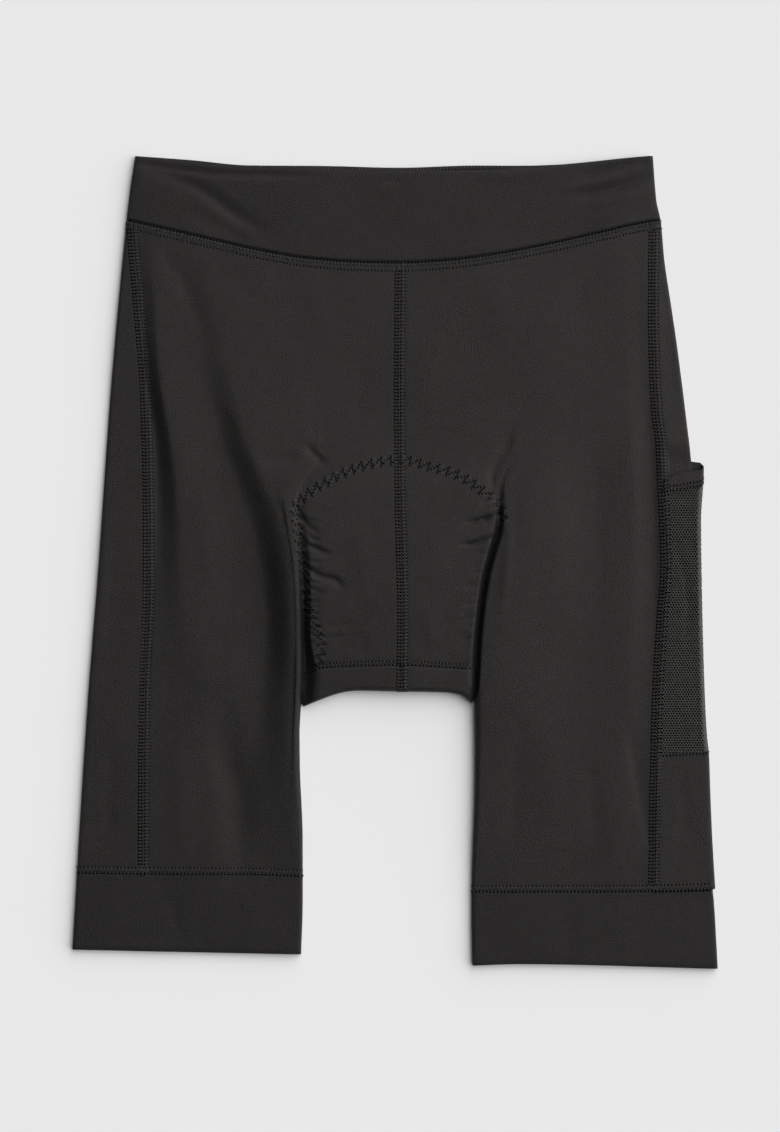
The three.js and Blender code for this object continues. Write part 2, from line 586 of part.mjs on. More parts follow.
function padGeometry() {
  const ends = { right: curve(PAD_OUTLINE, "right"), left: curve(PAD_OUTLINE, "left") };
  const rows = [61, 57, 50, 40, 26, 8, -10, -28, -45, -60, -72, -80];
  const shares = [0, 0.07, 0.18, 0.34, 0.5, 0.66, 0.82, 0.93, 1];
  const grid = rows.map((y) =>
    shares.map((share) => {
      const [from, to] = [ends.right(y), ends.left(y)];
      const x = mix(from, to, share);
      const side = x < centre.x(y) ? right : left;
      const rim = Math.min(x - from, to - x, rows[0] - y + 2, y - rows.at(-1) + 2);
      const full = topPoint(side, x, y, CLOTH).inner.z - SEAM_GAP;
      const share01 = mix(PAD_EDGE, 1, ramp(rim, 0, PAD_RIM));
      return { outer: V(x, y, mix(PAD_FLOOR, full, share01)), inner: V(x, y, PAD_FLOOR) };
    }));
  return wallGeometry([grid]);
}

const jersey = { color: 0x2b2a29, roughness: 0.62, metalness: 0 };
const net = { color: 0x30312f, roughness: 0.8, metalness: 0 };
const binding = { color: 0x1f1e1e, roughness: 0.7, metalness: 0 };
const foam = { color: 0x242323, roughness: 0.9, metalness: 0 };

const shorts = new THREE.Group();

function add(name, geometry, material) {
  const mesh = new THREE.Mesh(geometry, new THREE.MeshStandardMaterial(material));
  mesh.name = name;
  shorts.add(mesh);
}

add("waistband_front", waistband(true), jersey);
add("waistband_back", waistband(false), jersey);
for (const side of [right, left]) {
  add(`front_panel_${side.name}`, frontPanel(side), jersey);
  add(`side_panel_${side.name}`, sidePanel(side), jersey);
  add(`back_panel_${side.name}`, backPanel(side), jersey);
  add(`hem_band_${side.name}`, hemBand(side), jersey);
}
add("pocket_binding", pocketPiece((p) => p.mouth, (p) => p.bindingFoot, 2, BINDING), binding);
add("pocket_net", pocketPiece((p) => p.bindingFoot, (p) => p.netFoot, 8, NET), net);
add(
  "pocket_lower_panel",
  pocketPiece((p) => p.netFoot, (_, x) => left.hemSeam(x), 4, NET),
  jersey);
add("seat_pad", padGeometry(), foam);

export default shorts;
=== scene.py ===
"""Cycling shorts with a seat pad and one net side pocket, laid flat with the front side up.

Lengths are in millimetres until a mesh is made. +Y points to the waist and +X to the wearer's left
leg. The cloth follows the guide lines that its solids were built on, with creases laid over them.
"""
import math
from types import SimpleNamespace

import bpy
import numpy as np
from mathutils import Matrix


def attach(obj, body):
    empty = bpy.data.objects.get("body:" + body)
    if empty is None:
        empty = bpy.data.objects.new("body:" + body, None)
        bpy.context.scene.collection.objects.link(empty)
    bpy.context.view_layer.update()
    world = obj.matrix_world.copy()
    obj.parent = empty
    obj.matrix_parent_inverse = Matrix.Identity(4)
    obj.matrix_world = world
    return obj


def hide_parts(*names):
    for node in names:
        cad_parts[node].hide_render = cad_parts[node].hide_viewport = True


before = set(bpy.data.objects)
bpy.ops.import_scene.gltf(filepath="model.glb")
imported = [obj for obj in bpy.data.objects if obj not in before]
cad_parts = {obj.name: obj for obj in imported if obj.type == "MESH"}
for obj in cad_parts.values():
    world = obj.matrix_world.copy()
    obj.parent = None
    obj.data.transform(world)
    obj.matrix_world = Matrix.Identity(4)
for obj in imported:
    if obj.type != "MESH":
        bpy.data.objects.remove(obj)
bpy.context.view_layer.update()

MM = 0.001
SHEET = 0.9  # thickness of the jersey
BAND_SHEET = 1.3  # thickness of the doubled waistband and hem bands
BINDING_SHEET = 1.0
NET_SHEET = 0.6
UNDER = 0.25  # the cloth's underside; the threads sewn through it reach down to the floor
GAP = 0.12  # between the edges of two pieces that are sewn together
EDGE_FOLD = 2.2  # how far the rounded outer fold reaches in from the outline
LAYER_FLOOR = 1.6  # the front layer stays above the back layer
POCKET_LIFT = 1.3  # of the pocket's fold above the side panel's
POCKET_DROP = 2.3  # the side panel lies this deep below the pocket
BINDING_PROUD = 0.5  # how far the pocket's pieces stand out from its common face
LOWER_PROUD = 0.25
NET_PROUD = 0.12
INSEAM_IN = 8  # the inseam lies on the underside, this far in from the leg's inner fold
CROTCH_Y = -97  # the legs part below this line
WAIST_BLEND_Y = 140  # rows follow the curved waist seam above this line
PAD_FINE_Y = 45  # rows are closer below this line, beside the seat pad
PAD_END_Y = -57  # rows run on to the crotch's cross seam from here


# Curves and guide lines

def mix(a, b, t):
    return a + (b - a) * t


def smooth(t):
    return t * t * (3 - 2 * t)


def ramp(v, start, stop):
    return smooth(np.clip((v - start) / (stop - start), 0, 1))


def curve(*rows):
    """A smooth curve through rows of (place, value) that never swings past them."""
    at, to = np.array(sorted(rows), float).T
    step = np.diff(to) / np.diff(at)
    before = step[:-1]
    after = step[1:]
    turning = before * after <= 0
    bend = 2 * before * after / np.where(turning, 1, before + after)
    slopes = np.concatenate([step[:1], np.where(turning, 0, bend), step[-1:]])

    def value_at(v):
        v = np.clip(v, at[0], at[-1])
        i = np.clip(np.searchsorted(at, v) - 1, 0, len(at) - 2)
        width = at[i + 1] - at[i]
        t = (v - at[i]) / width
        swing = width * t * (1 - t) * ((1 - t) * slopes[i] - t * slopes[i + 1])
        return mix(to[i], to[i + 1], smooth(t)) + swing

    return value_at


def curves(*rows):
    """One curve for each column of values in rows of (place, value, value...)."""
    place, *columns = zip(*rows)
    return [curve(*zip(place, column)) for column in columns]


def guide(*rows):
    """A line from the waist to the hem, in rows of y, its place x and the cloth's height z."""
    x, z = curves(*rows)
    return SimpleNamespace(x=x, z=z)


def constant(value):
    return lambda v: value + 0 * v


def shifted(line, by):
    return lambda v: line(v) + by


# Seams and edges that cross the whole width: y at x
waist_seam = curve(
    (-183, 233), (-148, 225), (-122, 219), (-89, 211.7), (-58, 206.7), (-28, 204.4), (2, 203.8),
    (32, 205.2), (63, 208.9), (92, 214.1), (141, 224.8), (162, 229.8), (181, 233.2))
front_top = curve(
    (-177, 276), (-139, 271.6), (-99, 268.4), (-48, 267.4), (3, 266.4), (54, 266.6), (85, 268),
    (126, 271.4), (156, 274.6), (176, 276.4))
back_top = curve(
    (-177, 276.4), (-139, 273.6), (-99, 270), (-48, 269.6), (3, 268.4), (54, 269.9), (85, 269.8),
    (126, 271.4), (156, 274.8), (176, 276.4))
cross_seam = curve(
    (-58.5, -76.4), (-49.6, -72.3), (-23.8, -70.9), (3.4, -70.2), (30.6, -71.6), (52.4, -73))
crotch_edge = curve(
    (-63.9, -99.5), (-51, -94), (-34, -88.6), (-27, -87.8), (3.4, -88.3), (34, -88.9), (44, -90.4),
    (53.7, -96.8))
centre = guide(
    (277, 3.7, 4.8), (233, 3.7, 5.2), (178, 3.4, 5.6), (110, 3.1, 6.1), (83, 3.2, 6.6),
    (68, 3.3, 7.6), (51, 3.4, 9.2), (15, 4.2, 10.6), (-12, 5, 11.2), (-34, 5.3, 11.5), (-67, 5, 11),
    (-97, 4.8, 9.4))

# The wearer's right side, at negative X. Each line follows the crest or the foot of a fold.
right = SimpleNamespace(
    name="right",
    inward=1,
    outline=curve(
        (276, -177), (246, -181.3), (205, -185.6), (110, -194.1), (1, -201.7), (-94, -209.2),
        (-169, -214.1), (-265, -219.8)),
    edge_height=curve(
        (277, 4.4), (233, 4.4), (110, 3.8), (51, 3.7), (-34, 3.8), (-97, 4), (-189, 4.2),
        (-265, 4.4)),
    inner_edge=curve(
        (-97, -63.9), (-118, -64.9), (-138, -64.7), (-189, -62.8), (-230, -62.8), (-267, -63.9)),
    inner_fold=curve((-97, 3.6), (-150, 3.4), (-213, 2.4), (-267, 2.3)),
    back_seam=curve((233, -140), (110, -150), (0, -158), (-97, -164), (-213, -171)),
    hem_seam=curve((-216, -211.4), (-169, -212), (-124, -212.3), (-95, -212.5), (-64, -213.6)),
    hem_edge=curve((-220, -264), (-64, -267.2)),
    lines={
        "seam": guide(
            (277, -174, 4.6), (233, -178.6, 4.6), (178, -174.5, 4.5), (110, -169.5, 4),
            (51, -168, 3.8), (-12, -167.5, 3.8), (-97, -170.5, 4.3), (-212, -171, 4.6),
            (-265, -171, 4.5)),
        "foot": guide(
            (277, -170, 4.8), (233, -173, 4.8), (200, -175, 4.4), (178, -172.5, 4.3),
            (151, -171.5, 3.7), (124, -169.5, 3), (96, -165, 2.7), (69, -162.5, 2.7),
            (42, -161.5, 2.9), (15, -162, 3.3), (-12, -163, 3.7), (-53, -163, 4.2),
            (-97, -160, 4.4), (-140, -152, 4.6), (-213, -150, 4.6), (-265, -150, 4.5)),
        "bulge": guide(
            (277, -158, 4.8), (233, -160, 5), (200, -163, 5.5), (178, -162, 5.9), (151, -161, 6.2),
            (124, -158.5, 6.6), (96, -154, 7), (69, -149.5, 7.1), (42, -147, 6.9), (15, -145, 6.5),
            (-12, -144, 6.1), (-53, -138, 5.6), (-97, -128, 5.2), (-189, -124, 5.3),
            (-213, -118, 4.9), (-265, -118, 4.6)),
        "hollow": guide(
            (277, -144, 4.8), (233, -146, 4.9), (178, -141, 5.4), (144, -134, 5.6),
            (115, -127, 5.5), (96, -121.5, 5.2), (76, -117, 4.9), (62, -111.5, 4.7),
            (49, -107, 4.4), (35, -102, 4.2), (15, -97, 3.9), (-18, -90.5, 3.8), (-46, -89, 3.8),
            (-94, -92, 4.2), (-140, -99, 4.7), (-189, -102, 5), (-213, -95, 4.7), (-265, -90, 4.5)),
        "shoulder": guide(
            (277, -125, 4.8), (233, -126, 5.1), (178, -122, 5.9), (144, -116, 6.6),
            (115, -108, 7.6), (96, -103.5, 8.4), (76, -97.5, 8.9), (62, -90.5, 9.2),
            (49, -85.5, 9.4), (35, -77.6, 10.1), (15, -73, 10.9), (-18, -69.4, 11),
            (-46, -68.4, 10.8), (-94, -69.2, 8.6), (-151, -72.4, 6.6), (-189, -74, 5.9),
            (-213, -71, 4.7), (-265, -71, 4.6)),
        "crest": guide(
            (277, -92, 4.8), (233, -95, 5.1), (178, -86, 5.9), (121, -70, 6.6), (89, -62.5, 7.6),
            (68, -64, 8.8), (51, -71.5, 10), (39, -74, 10.8), (28, -73, 11.2), (1, -68.8, 11.5),
            (-26, -66.9, 11.4), (-67, -66.5, 10.7), (-97, -67.5, 9.2), (-135, -68, 7.6),
            (-189, -66, 6.2), (-213, -65.2, 4.8), (-265, -66.2, 4.6)),
        "brow": guide(
            (277, -64, 4.8), (233, -66, 5.2), (178, -58, 5.8), (110, -52, 6.4), (73, -54, 8),
            (51, -66, 9.7), (39, -69, 10.5), (28, -68.6, 10.9), (15, -67.4, 11.1),
            (-5, -66.2, 11.2), (-34, -65.2, 11.2), (-67, -64.6, 10.3), (-80, -64.7, 9.8),
            (-97, -65.6, 8.6)),
        "groove": guide(
            (277, -60, 4.8), (233, -62, 5.2), (178, -54.5, 5.8), (110, -47.5, 6.3), (73, -50, 7.6),
            (51, -62.5, 9), (39, -66.3, 9.5), (28, -65.6, 9.2), (15, -64.6, 8.4), (-5, -63.4, 7.2),
            (-26, -62.7, 6.2), (-38, -62.4, 5), (-50, -62, 3.6), (-67, -61.6, 3.2),
            (-80, -61.8, 3.2), (-97, -63.4, 3.3)),
        "pad": guide(
            (277, -36, 4.8), (233, -37, 5.2), (178, -29, 5.8), (110, -25, 6.3), (73, -31, 7.5),
            (51, -51, 9.4), (39, -58.5, 10.2), (28, -59, 10.5), (15, -58, 10.8), (-5, -56.6, 10.9),
            (-30, -56.4, 10.8), (-45, -57.2, 10.6), (-56, -56.4, 10.2), (-67, -54, 9.8),
            (-82, -52.6, 9.2), (-97, -54, 8.6)),
    },
    divisions={"seam": 4, "foot": 10, "bulge": 15, "hollow": 12, "shoulder": 6, "crest": 5,
               "brow": 7, "groove": 9, "pad": 27})

# The wearer's left side, at positive X, with the pocket.
left = SimpleNamespace(
    name="left",
    inward=-1,
    outline=curve(
        (276, 175.6), (246, 178), (232, 181), (205, 183.5), (178, 187.5), (151, 191.5),
        (110, 196.8), (69, 201.6), (55, 203), (28, 204.5), (-26, 206.3), (-67, 207.4),
        (-118, 209.8), (-160, 212.3), (-219, 215.8), (-232, 217.2), (-277, 219.8)),
    edge_height=curve(
        (277, 4.4), (233, 4.4), (110, 4.8), (60, 5.6), (0, 5.8), (-100, 5.8), (-190, 5.6),
        (-221, 5.2), (-235, 4.6), (-277, 4.4)),
    inner_edge=curve(
        (-97, 53.9), (-128, 54.3), (-159, 54), (-189, 53.1), (-220, 52.2), (-240, 52.1),
        (-275, 52.7)),
    inner_fold=curve((-97, 5.6), (-135, 4.4), (-189, 3.2), (-225, 2.4)),
    back_seam=curve((233, 139), (110, 153), (0, 161), (-97, 166), (-225, 172)),
    hem_seam=curve((52, -224.2), (136, -224.2), (180, -223.7), (218, -222.6)),
    hem_edge=curve((52.7, -274.8), (85, -273.8), (219.8, -277)),
    lines={
        "seam": guide(
            (277, 172, 4.6), (233, 176.2, 4.8), (178, 175.6, 5.2), (144, 176.2, 5.4),
            (101, 178.2, 5.6), (81, 180.9, 5.8), (52, 182.2, 5.9), (22, 183.6, 5.9),
            (-3, 184.3, 5.9), (-37, 181.9, 5.9), (-93, 178.5, 5.8), (-131, 177.5, 5.7),
            (-198, 176.3, 5.4), (-225, 176.1, 4.9), (-277, 176, 4.6)),
        "low": guide(
            (277, 162, 4.8), (233, 168, 4.9), (178, 169, 5.3), (110, 171, 5.2), (60, 174.5, 4.8),
            (-18, 176, 4.9), (-80, 173, 5.5), (-189, 170, 5.3), (-225, 169, 4.8), (-277, 169, 4.6)),
        "bulge": guide(
            (277, 150, 4.8), (233, 154, 5.2), (178, 155, 5.7), (110, 157, 6.2), (60, 160, 6.6),
            (0, 160, 6.7), (-56, 157, 6.6), (-135, 152, 6.4), (-189, 150, 6), (-225, 150, 4.9),
            (-277, 150, 4.6)),
        "hollow": guide(
            (277, 132, 4.8), (233, 134, 5.2), (178, 136, 5.6), (110, 137, 6.1), (60, 137.4, 6.3),
            (-56, 136, 6.3), (-135, 134, 6.2), (-189, 133, 5.7), (-225, 133, 4.8),
            (-277, 133, 4.6)),
        "crest": guide(
            (277, 90, 4.8), (233, 92, 5.2), (178, 95, 5.8), (110, 98.5, 6.8), (73, 96, 8),
            (51, 93, 9.1), (39, 91, 9.5), (21, 88, 10), (4, 82.5, 10.4), (-12, 78.5, 10.5),
            (-33, 74.5, 10.3), (-53, 71, 9.9), (-75, 65.5, 9.6), (-97, 59.5, 9), (-135, 58.7, 7.4),
            (-189, 56.3, 6.2), (-225, 54.6, 4.9), (-277, 55.1, 4.6)),
        "brow": guide(
            (277, 66, 4.8), (233, 69, 5.2), (178, 76, 5.8), (110, 84, 6.5), (73, 85, 7.8),
            (51, 75, 8.8), (39, 74.5, 9.1), (28, 74.2, 9.4), (21, 73.4, 9.6), (4, 68.4, 10),
            (-12, 64.4, 10), (-33, 61.2, 9.9), (-53, 59.2, 9.6), (-87, 57.2, 9), (-97, 55.6, 8.4)),
        "groove": guide(
            (277, 62, 4.8), (233, 65, 5.2), (178, 71.5, 5.8), (110, 79.5, 6.4), (73, 79, 7.6),
            (51, 71.5, 8), (39, 71.2, 7.6), (28, 71, 6.4), (21, 70, 4.8), (4, 65.3, 3.8),
            (-12, 61.4, 3.4), (-33, 58.4, 3.2), (-53, 56.5, 3.2), (-87, 54.8, 3.3),
            (-97, 53.4, 3.3)),
        "pad": guide(
            (277, 42, 4.8), (233, 43, 5.2), (178, 48, 5.8), (110, 50, 6.3), (73, 55, 7.6),
            (51, 63, 9.4), (39, 66.5, 10.1), (28, 67, 10.4), (21, 66, 10.6), (4, 61.6, 10.9),
            (-12, 57.6, 11), (-34, 54.4, 10.8), (-53, 52.4, 10.4), (-67, 51.4, 9.8), (-87, 50.4, 9),
            (-97, 49.4, 8.6)),
    },
    divisions={"seam": 4, "low": 8, "bulge": 10, "hollow": 32, "crest": 8, "brow": 7,
               "groove": 8, "pad": 28})

POCKET_HIGH = 80  # the pocket's outline counts between these lines
POCKET_LOW = -222.6
pocket_outline = curve(
    (80, 209.9), (56, 209.7), (28, 208.2), (-26, 208.9), (-94, 210.9), (-118, 212.2), (-129, 213.4),
    (-159, 214.5), (-189, 215.8), (-222, 217.8))


def left_outer_outline(y):
    """The outline of the outermost cloth on the left: the pocket's where there is one."""
    within = (y < POCKET_HIGH) & (y > POCKET_LOW)
    return np.where(within, np.maximum(pocket_outline(y), left.outline(y)), left.outline(y))


def on_leg_fold(side, free, share):
    """A line that in the leg lies on the rounded inner fold, at a share of the fold's width."""
    return lambda y: np.where(
        y > CROTCH_Y, free(y), side.inner_edge(y) - side.inward * share * side.inner_fold(y))


left.outer_outline = left_outer_outline
right.outer_outline = right.outline
for side in (right, left):
    for name, share in (("crest", 1), ("brow", 0.4)):
        line = side.lines[name]
        line.x = on_leg_fold(side, line.x, share)
    side.start = shifted(side.outline, side.inward * EDGE_FOLD)
    edge = SimpleNamespace(
        x=shifted(side.outer_outline, side.inward * EDGE_FOLD), z=side.edge_height)
    side.across = [edge, *side.lines.values(), centre]


def base_height(side, x, y):
    """Height of the front layer's upper face, without its creases and seams."""
    xs = [at.x(y) for at in side.across]
    zs = [at.z(y) for at in side.across]
    z = zs[0] + 0 * x
    for i in range(len(xs) - 1):
        share = smooth(np.clip((x - xs[i]) / (xs[i + 1] - xs[i]), 0, 1))
        beyond = (x - xs[i]) * side.inward > 0
        z = np.where(beyond, mix(zs[i], zs[i + 1], share), z)
    return z


# Creases, troughs below zero and ridges above

def spline(corners, pieces=6):
    """A smooth line through given corners, with so many pieces between two of them."""
    p = np.array(corners, float)
    p = np.concatenate([[2 * p[0] - p[1]], p, [2 * p[-1] - p[-2]]])
    t = np.linspace(0, 1, pieces, endpoint=False)[:, None]
    made = []
    for a, b, c, d in zip(p, p[1:], p[2:], p[3:]):
        made.append(0.5 * (2 * b + (c - a) * t + (2 * a - 5 * b + 4 * c - d) * t ** 2
                           + (3 * b - a - 3 * c + d) * t ** 3))
    return np.concatenate([*made, p[-2:-1]])


CREASE_SPREAD = 1.7  # a crease has almost died away at so many times its bell curve's width
CREASE_REACH = 3.2  # and nothing is left of it here
CREASE_END = 0.35  # share of its length over which it dies away at an end


def crease(corners, width, rise, ends=(0, 0), lean=0.0):
    """width is from the line to where the crease has almost died away, and rise its height.
    ends says which share of the rise is left at the line's start and end. A positive lean makes
    the side to the left of the line, as seen on the way along it, the wider one."""
    return SimpleNamespace(
        path=spline(corners), width=width / CREASE_SPREAD, rise=rise, ends=ends, lean=lean)


def crease_height(made, x, y):
    """A crease's height, from the nearest place of its line."""
    reach = CREASE_REACH * made.width
    low = made.path.min(0) - reach
    high = made.path.max(0) + reach
    z = np.zeros(x.shape)
    near = (x > low[0]) & (x < high[0]) & (y > low[1]) & (y < high[1])
    if not near.any():
        return z
    at = np.stack([x[near], y[near]], -1)
    best = np.full(len(at), np.inf)
    side = np.zeros(len(at))
    along = np.zeros(len(at))
    steps = np.diff(made.path, axis=0)
    lengths = np.hypot(*steps.T)
    starts = np.concatenate([[0], np.cumsum(lengths)])
    for start, step, length, done in zip(made.path, steps, lengths, starts):
        away = at - start
        t = np.clip(away @ step / length ** 2, 0, 1)
        gap = away - t[:, None] * step
        distance = np.hypot(*gap.T)
        closer = distance < best
        best = np.where(closer, distance, best)
        side = np.where(closer, np.sign(step[0] * away[:, 1] - step[1] * away[:, 0]), side)
        along = np.where(closer, (done + t * length) / starts[-1], along)
    width = made.width * (1 + made.lean * side)
    first = mix(made.ends[0], 1, ramp(along, 0, CREASE_END))
    second = mix(made.ends[1], 1, ramp(1 - along, 0, CREASE_END))
    z[near] = made.rise * first * second * np.exp(-(best / width) ** 2)
    return z


CREASES = [crease(*row) for row in (
    # Waistband, from its right end: a long trough under the top edge and a slanting one
    ([(-176, 271.5), (-150, 267.4), (-119, 263.6), (-71, 262.5), (-40, 262)], 5, -1.2, (0.5, 0),
     0.3),
    ([(-168, 268), (-133, 253), (-109, 236), (-78, 219)], 8, -1.2, (0.4, 0), 0.2),
    ([(-150, 240), (-120, 228), (-96, 214)], 9, -0.45),
    ([(-7, 261), (3.4, 258.2)], 3, -0.35),
    ([(-14, 252), (2, 253.5)], 6, 0.3),
    # Waistband, from its left end
    ([(170, 272), (146, 267), (129, 261.5), (118, 256)], 5, -1.3, (0.5, 0), -0.2),
    ([(172, 262), (150, 254), (118, 245)], 4.6, -1.6, (0.5, 0), -0.3),
    ([(172, 254), (152, 246), (126, 239)], 6, 0.7, (0.5, 0)),
    ([(164, 267), (143, 260), (112, 252)], 5, 1.0, (0.3, 0)),
    ([(120, 268), (86, 263), (50, 262)], 5, 0.3),
    ([(178, 254), (163, 247), (150, 238), (130, 229)], 8, 0.8, (0.6, 0)),
    # Belly: soft slanting pulls from the waist seam towards the legs
    ([(-168, 222), (-148, 196), (-136, 170), (-128, 148)], 10, -0.55, (0, 0.3), 0.2),
    ([(-130, 214), (-104, 188), (-88, 160)], 13, -0.4),
    ([(-60, 200), (-52, 170), (-50, 134)], 16, 0.35),
    ([(60, 204), (70, 172), (76, 138)], 16, 0.4),
    ([(150, 218), (128, 188), (118, 160)], 14, -0.45, (0, 0), -0.2),
    ([(28, 160), (22, 126), (26, 96)], 15, 0.35),
    ([(-30, 150), (-22, 118), (-30, 92)], 15, -0.3),
    # Above and beside the seat pad, right leg
    ([(-62, 81), (-53, 72.5), (-45, 63.5)], 3.8, -1.1, (0.2, 0.2), -0.45),
    ([(-94, 68), (-80, 69.5), (-63, 70)], 8, -0.8, (0, 0.2)),
    ([(-66, 34), (-58, 24), (-49.6, 17)], 3.4, -1.1, (0.5, 0), -0.3),
    ([(-62.5, 13.5), (-53, 9), (-43, 5)], 3.2, -1.5, (0.5, 0), -0.3),
    ([(-60, -3), (-52, -9), (-41, -11.7), (-33, -20)], 3.4, -1.5, (0.4, 0), -0.3),
    ([(-62, 22), (-56, 16), (-51, 13)], 2.2, -0.7, (0.6, 0)),
    ([(-61, -16), (-53, -20), (-46, -21)], 2.6, -0.9, (0.6, 0)),
    ([(-46, -46), (-38, -43), (-28, -41)], 4, -0.5),
    ([(-54, -62), (-48, -55), (-41, -51), (-33, -50)], 3.4, -0.9, (0.3, 0)),
    *[([(-62.5, y), (-56.5, y - 1.2), (-48 + 2 * rise, y - 2)], 1.9, rise, (0.7, 0))
      for y, rise in ((29, -0.5), (17, -0.6), (6, -0.5), (1.5, -0.7), (-4.6, -0.8),
                      (-12.5, -0.7), (-21.6, -0.8), (-25.2, -1.0), (-29.2, -0.8), (-33.4, -1.0),
                      (-37.6, -0.8), (-42.5, -0.7), (-48, -0.9), (-54, -0.6), (-59, -0.5))],
    # On the seat pad
    ([(-41, -64), (-30, -46), (-13, -25)], 10, -0.55, (0, 0), 0.3),
    ([(-27, -66), (-23, -57), (-18, -49)], 9, -0.35),
    ([(30, -64), (24, -44), (14, -20)], 10, 0.4),
    ([(-30, 30), (-22, 2), (-24, -30)], 14, 0.45),
    ([(34, 36), (28, 4), (30, -28)], 15, 0.4),
    # Beside the seat pad, left leg
    ([(82, 94), (76.5, 77), (68, 63), (66, 50), (67.5, 38)], 5, -1.1, (0, 0.4), -0.45),
    ([(45, 25.4), (57, 28.2), (71, 32)], 2.6, -2.1, (0, 0.6)),
    ([(71, 45), (64, 43), (56.5, 36)], 3, -0.9, (0.5, 0)),
    ([(70, 35), (64.6, 31), (58, 28)], 3.0, -1.0, (0.6, 0)),
    ([(43, 10.5), (54, 13), (67, 17)], 2.4, -2.1, (0, 0.6)),
    ([(42, -60), (47, -54), (50, -48)], 5, -0.5),
    *[([(60 + shift, y + 1), (54 + shift, y + 0.5), (60 + shift - reach, y - 1)], 2.4, rise,
       (0.7, 0))
      for y, shift, reach, rise in ((5, 3, 10, -0.6), (-3.4, 1, 15, -0.35), (-8.4, 0, 9, -0.6),
                                    (-17, -1, 13, -0.55), (-24, -2, 8, -0.4),
                                    (-28.6, -2.5, 12, -0.65), (-39, -4, 14, -0.4),
                                    (-44.6, -4, 8, -0.5), (-53, -5, 11, -0.35))],
    # Left leg of the picture, below the pad
    ([(-148, -105), (-147, -135), (-145, -165), (-146, -210)], 14, 0.7, (0.2, 0.4)),
    ([(-118, -100), (-114, -135), (-107, -162), (-106, -210)], 18, -1.8, (0.4, 0.4)),
    ([(-132, 60), (-128, 20), (-126, -40)], 9, 0.35),
    ([(-72, -104), (-71, -150), (-71, -206)], 14, 0.9, (0.5, 0.3)),
    # Right leg of the picture
    ([(137, 92), (138, 20), (137, -58)], 10, -0.25, (0, 0)),
    ([(74, 58), (76.5, 10), (71, -50)], 6, 0.5),
    ([(110, 70), (112, 10), (108, -60)], 16, 0.5),
    ([(156, -106), (163, -140), (172.5, -191)], 8, -0.75, (0, 0.5), 0.4),
    ([(100, -90), (104, -140), (106, -200)], 18, 0.5),
    ([(84, -100), (82, -150), (80, -210)], 9, -0.35),
    ([(130, -120), (134, -160), (138, -205)], 10, -0.4),
    # Hem bands
    ([(-160, -216), (-150, -240), (-146, -262)], 10, -0.35, (0.3, 0.6)),
    ([(-100, -218), (-96, -240), (-98, -262)], 14, 0.35, (0.3, 0.6)),
    ([(112, -228), (118, -250), (116, -272)], 12, -0.35, (0.3, 0.6)),
    ([(160, -228), (154, -250), (158, -272)], 14, 0.35, (0.3, 0.6)),
    # Side strip and pocket
    ([(-196, 40), (-199, -20), (-203, -80)], 7, 0.4),
    ([(-190, -110), (-194, -160), (-196, -205)], 9, -0.35),
    ([(186.5, 23.5), (197, -11), (199, -40), (198, -66)], 5, -0.6, (0.2, 0), 0.3),
    ([(196, -88), (200, -108), (205, -122)], 5, 0.35),
    ([(193, -140), (198, -172), (200, -205)], 8, -0.3),
)]

# Slow waves of the cloth: wavelengths along x and y, height and phase
SWELLS = ((97, 133, 0.12, 0.4), (-71, 118, 0.1, 2.1), (43, -61, 0.03, 4.4))


def relief(x, y):
    """Height of the creases and slow waves at a place."""
    x, y = np.broadcast_arrays(np.asarray(x, float), np.asarray(y, float))
    z = sum(crease_height(made, x, y) for made in CREASES)
    for wide, long, rise, phase in SWELLS:
        z = z + rise * np.sin(2 * math.pi * (x / wide + y / long) + phase)
    return z


# Seams: how the cloth dips and rises beside them

FLATLOCK_HALF = 3.05  # from the seam to the outer needle rows
FLATLOCK_INNER = 1.05  # from the seam to the inner needle rows


def dent(offset, at, width, depth):
    return -depth * np.exp(-((offset - at) / width) ** 2)


def plateau(v, start, full, last, stop):
    """Rises from 0 to 1 between start and full, and falls back between last and stop."""
    return ramp(v, start, full) * (1 - ramp(v, last, stop))


def flatlock_form(offset):
    """A flat seam: a raised band between two needle rows, dented where the thread pulls it in."""
    band = 0.1 * (1 - ramp(np.abs(offset), FLATLOCK_HALF - 0.7, FLATLOCK_HALF + 0.3))
    rows = dent(np.abs(offset), FLATLOCK_HALF, 0.5, 0.16) + dent(offset, 0, 0.6, 0.1)
    return band + rows


def waist_form(offset):
    """The seam below the waistband: a ditch, and the allowance as a low step under it."""
    step = 0.04 * plateau(-offset, 0.6, 1.5, 5.4, 6.6)
    return dent(offset, 0, 0.75, 0.75) + step + dent(offset, -6.1, 0.5, 0.22)


def hem_form(offset):
    """The seam above a hem band: a dented stitch row, a fainter one higher up, and a low band
    between them."""
    band = 0.12 * plateau(offset, 0.3, 1.2, 2.8, 3.8)
    return dent(offset, 0.1, 0.6, 0.45) + dent(offset, 3.6, 0.6, 0.16) + band


def cross_form(offset):
    """The seam between the seat pad and the lip of the back panel."""
    return dent(offset, 0, 0.8, 0.6) + dent(offset, 3, 0.5, 0.15)


def seam_relief(side, x, y):
    """Dents and bands of the seams that cross the front layer."""
    z = flatlock_form((x - side.lines["seam"].x(y))) * (y < waist_seam(x) + 1)
    z = z * np.where(y > side.hem_seam(x) - 1, 1, 0)
    middle = (y < waist_seam(x) + 1) & (y > crotch_edge(x) - 2)
    z = z + flatlock_form(x - centre.x(y)) * middle
    z = z + waist_form(y - waist_seam(x))
    z = z + hem_form(y - side.hem_seam(x))
    across = ramp(-side.inward * (x - side.lines["groove"].x(y)), -2, 2)
    return z + cross_form(y - cross_seam(x)) * (1 - across)


def height(side, x, y):
    """Height of the front layer's upper face."""
    return base_height(side, x, y) + relief(x, y) + seam_relief(side, x, y)


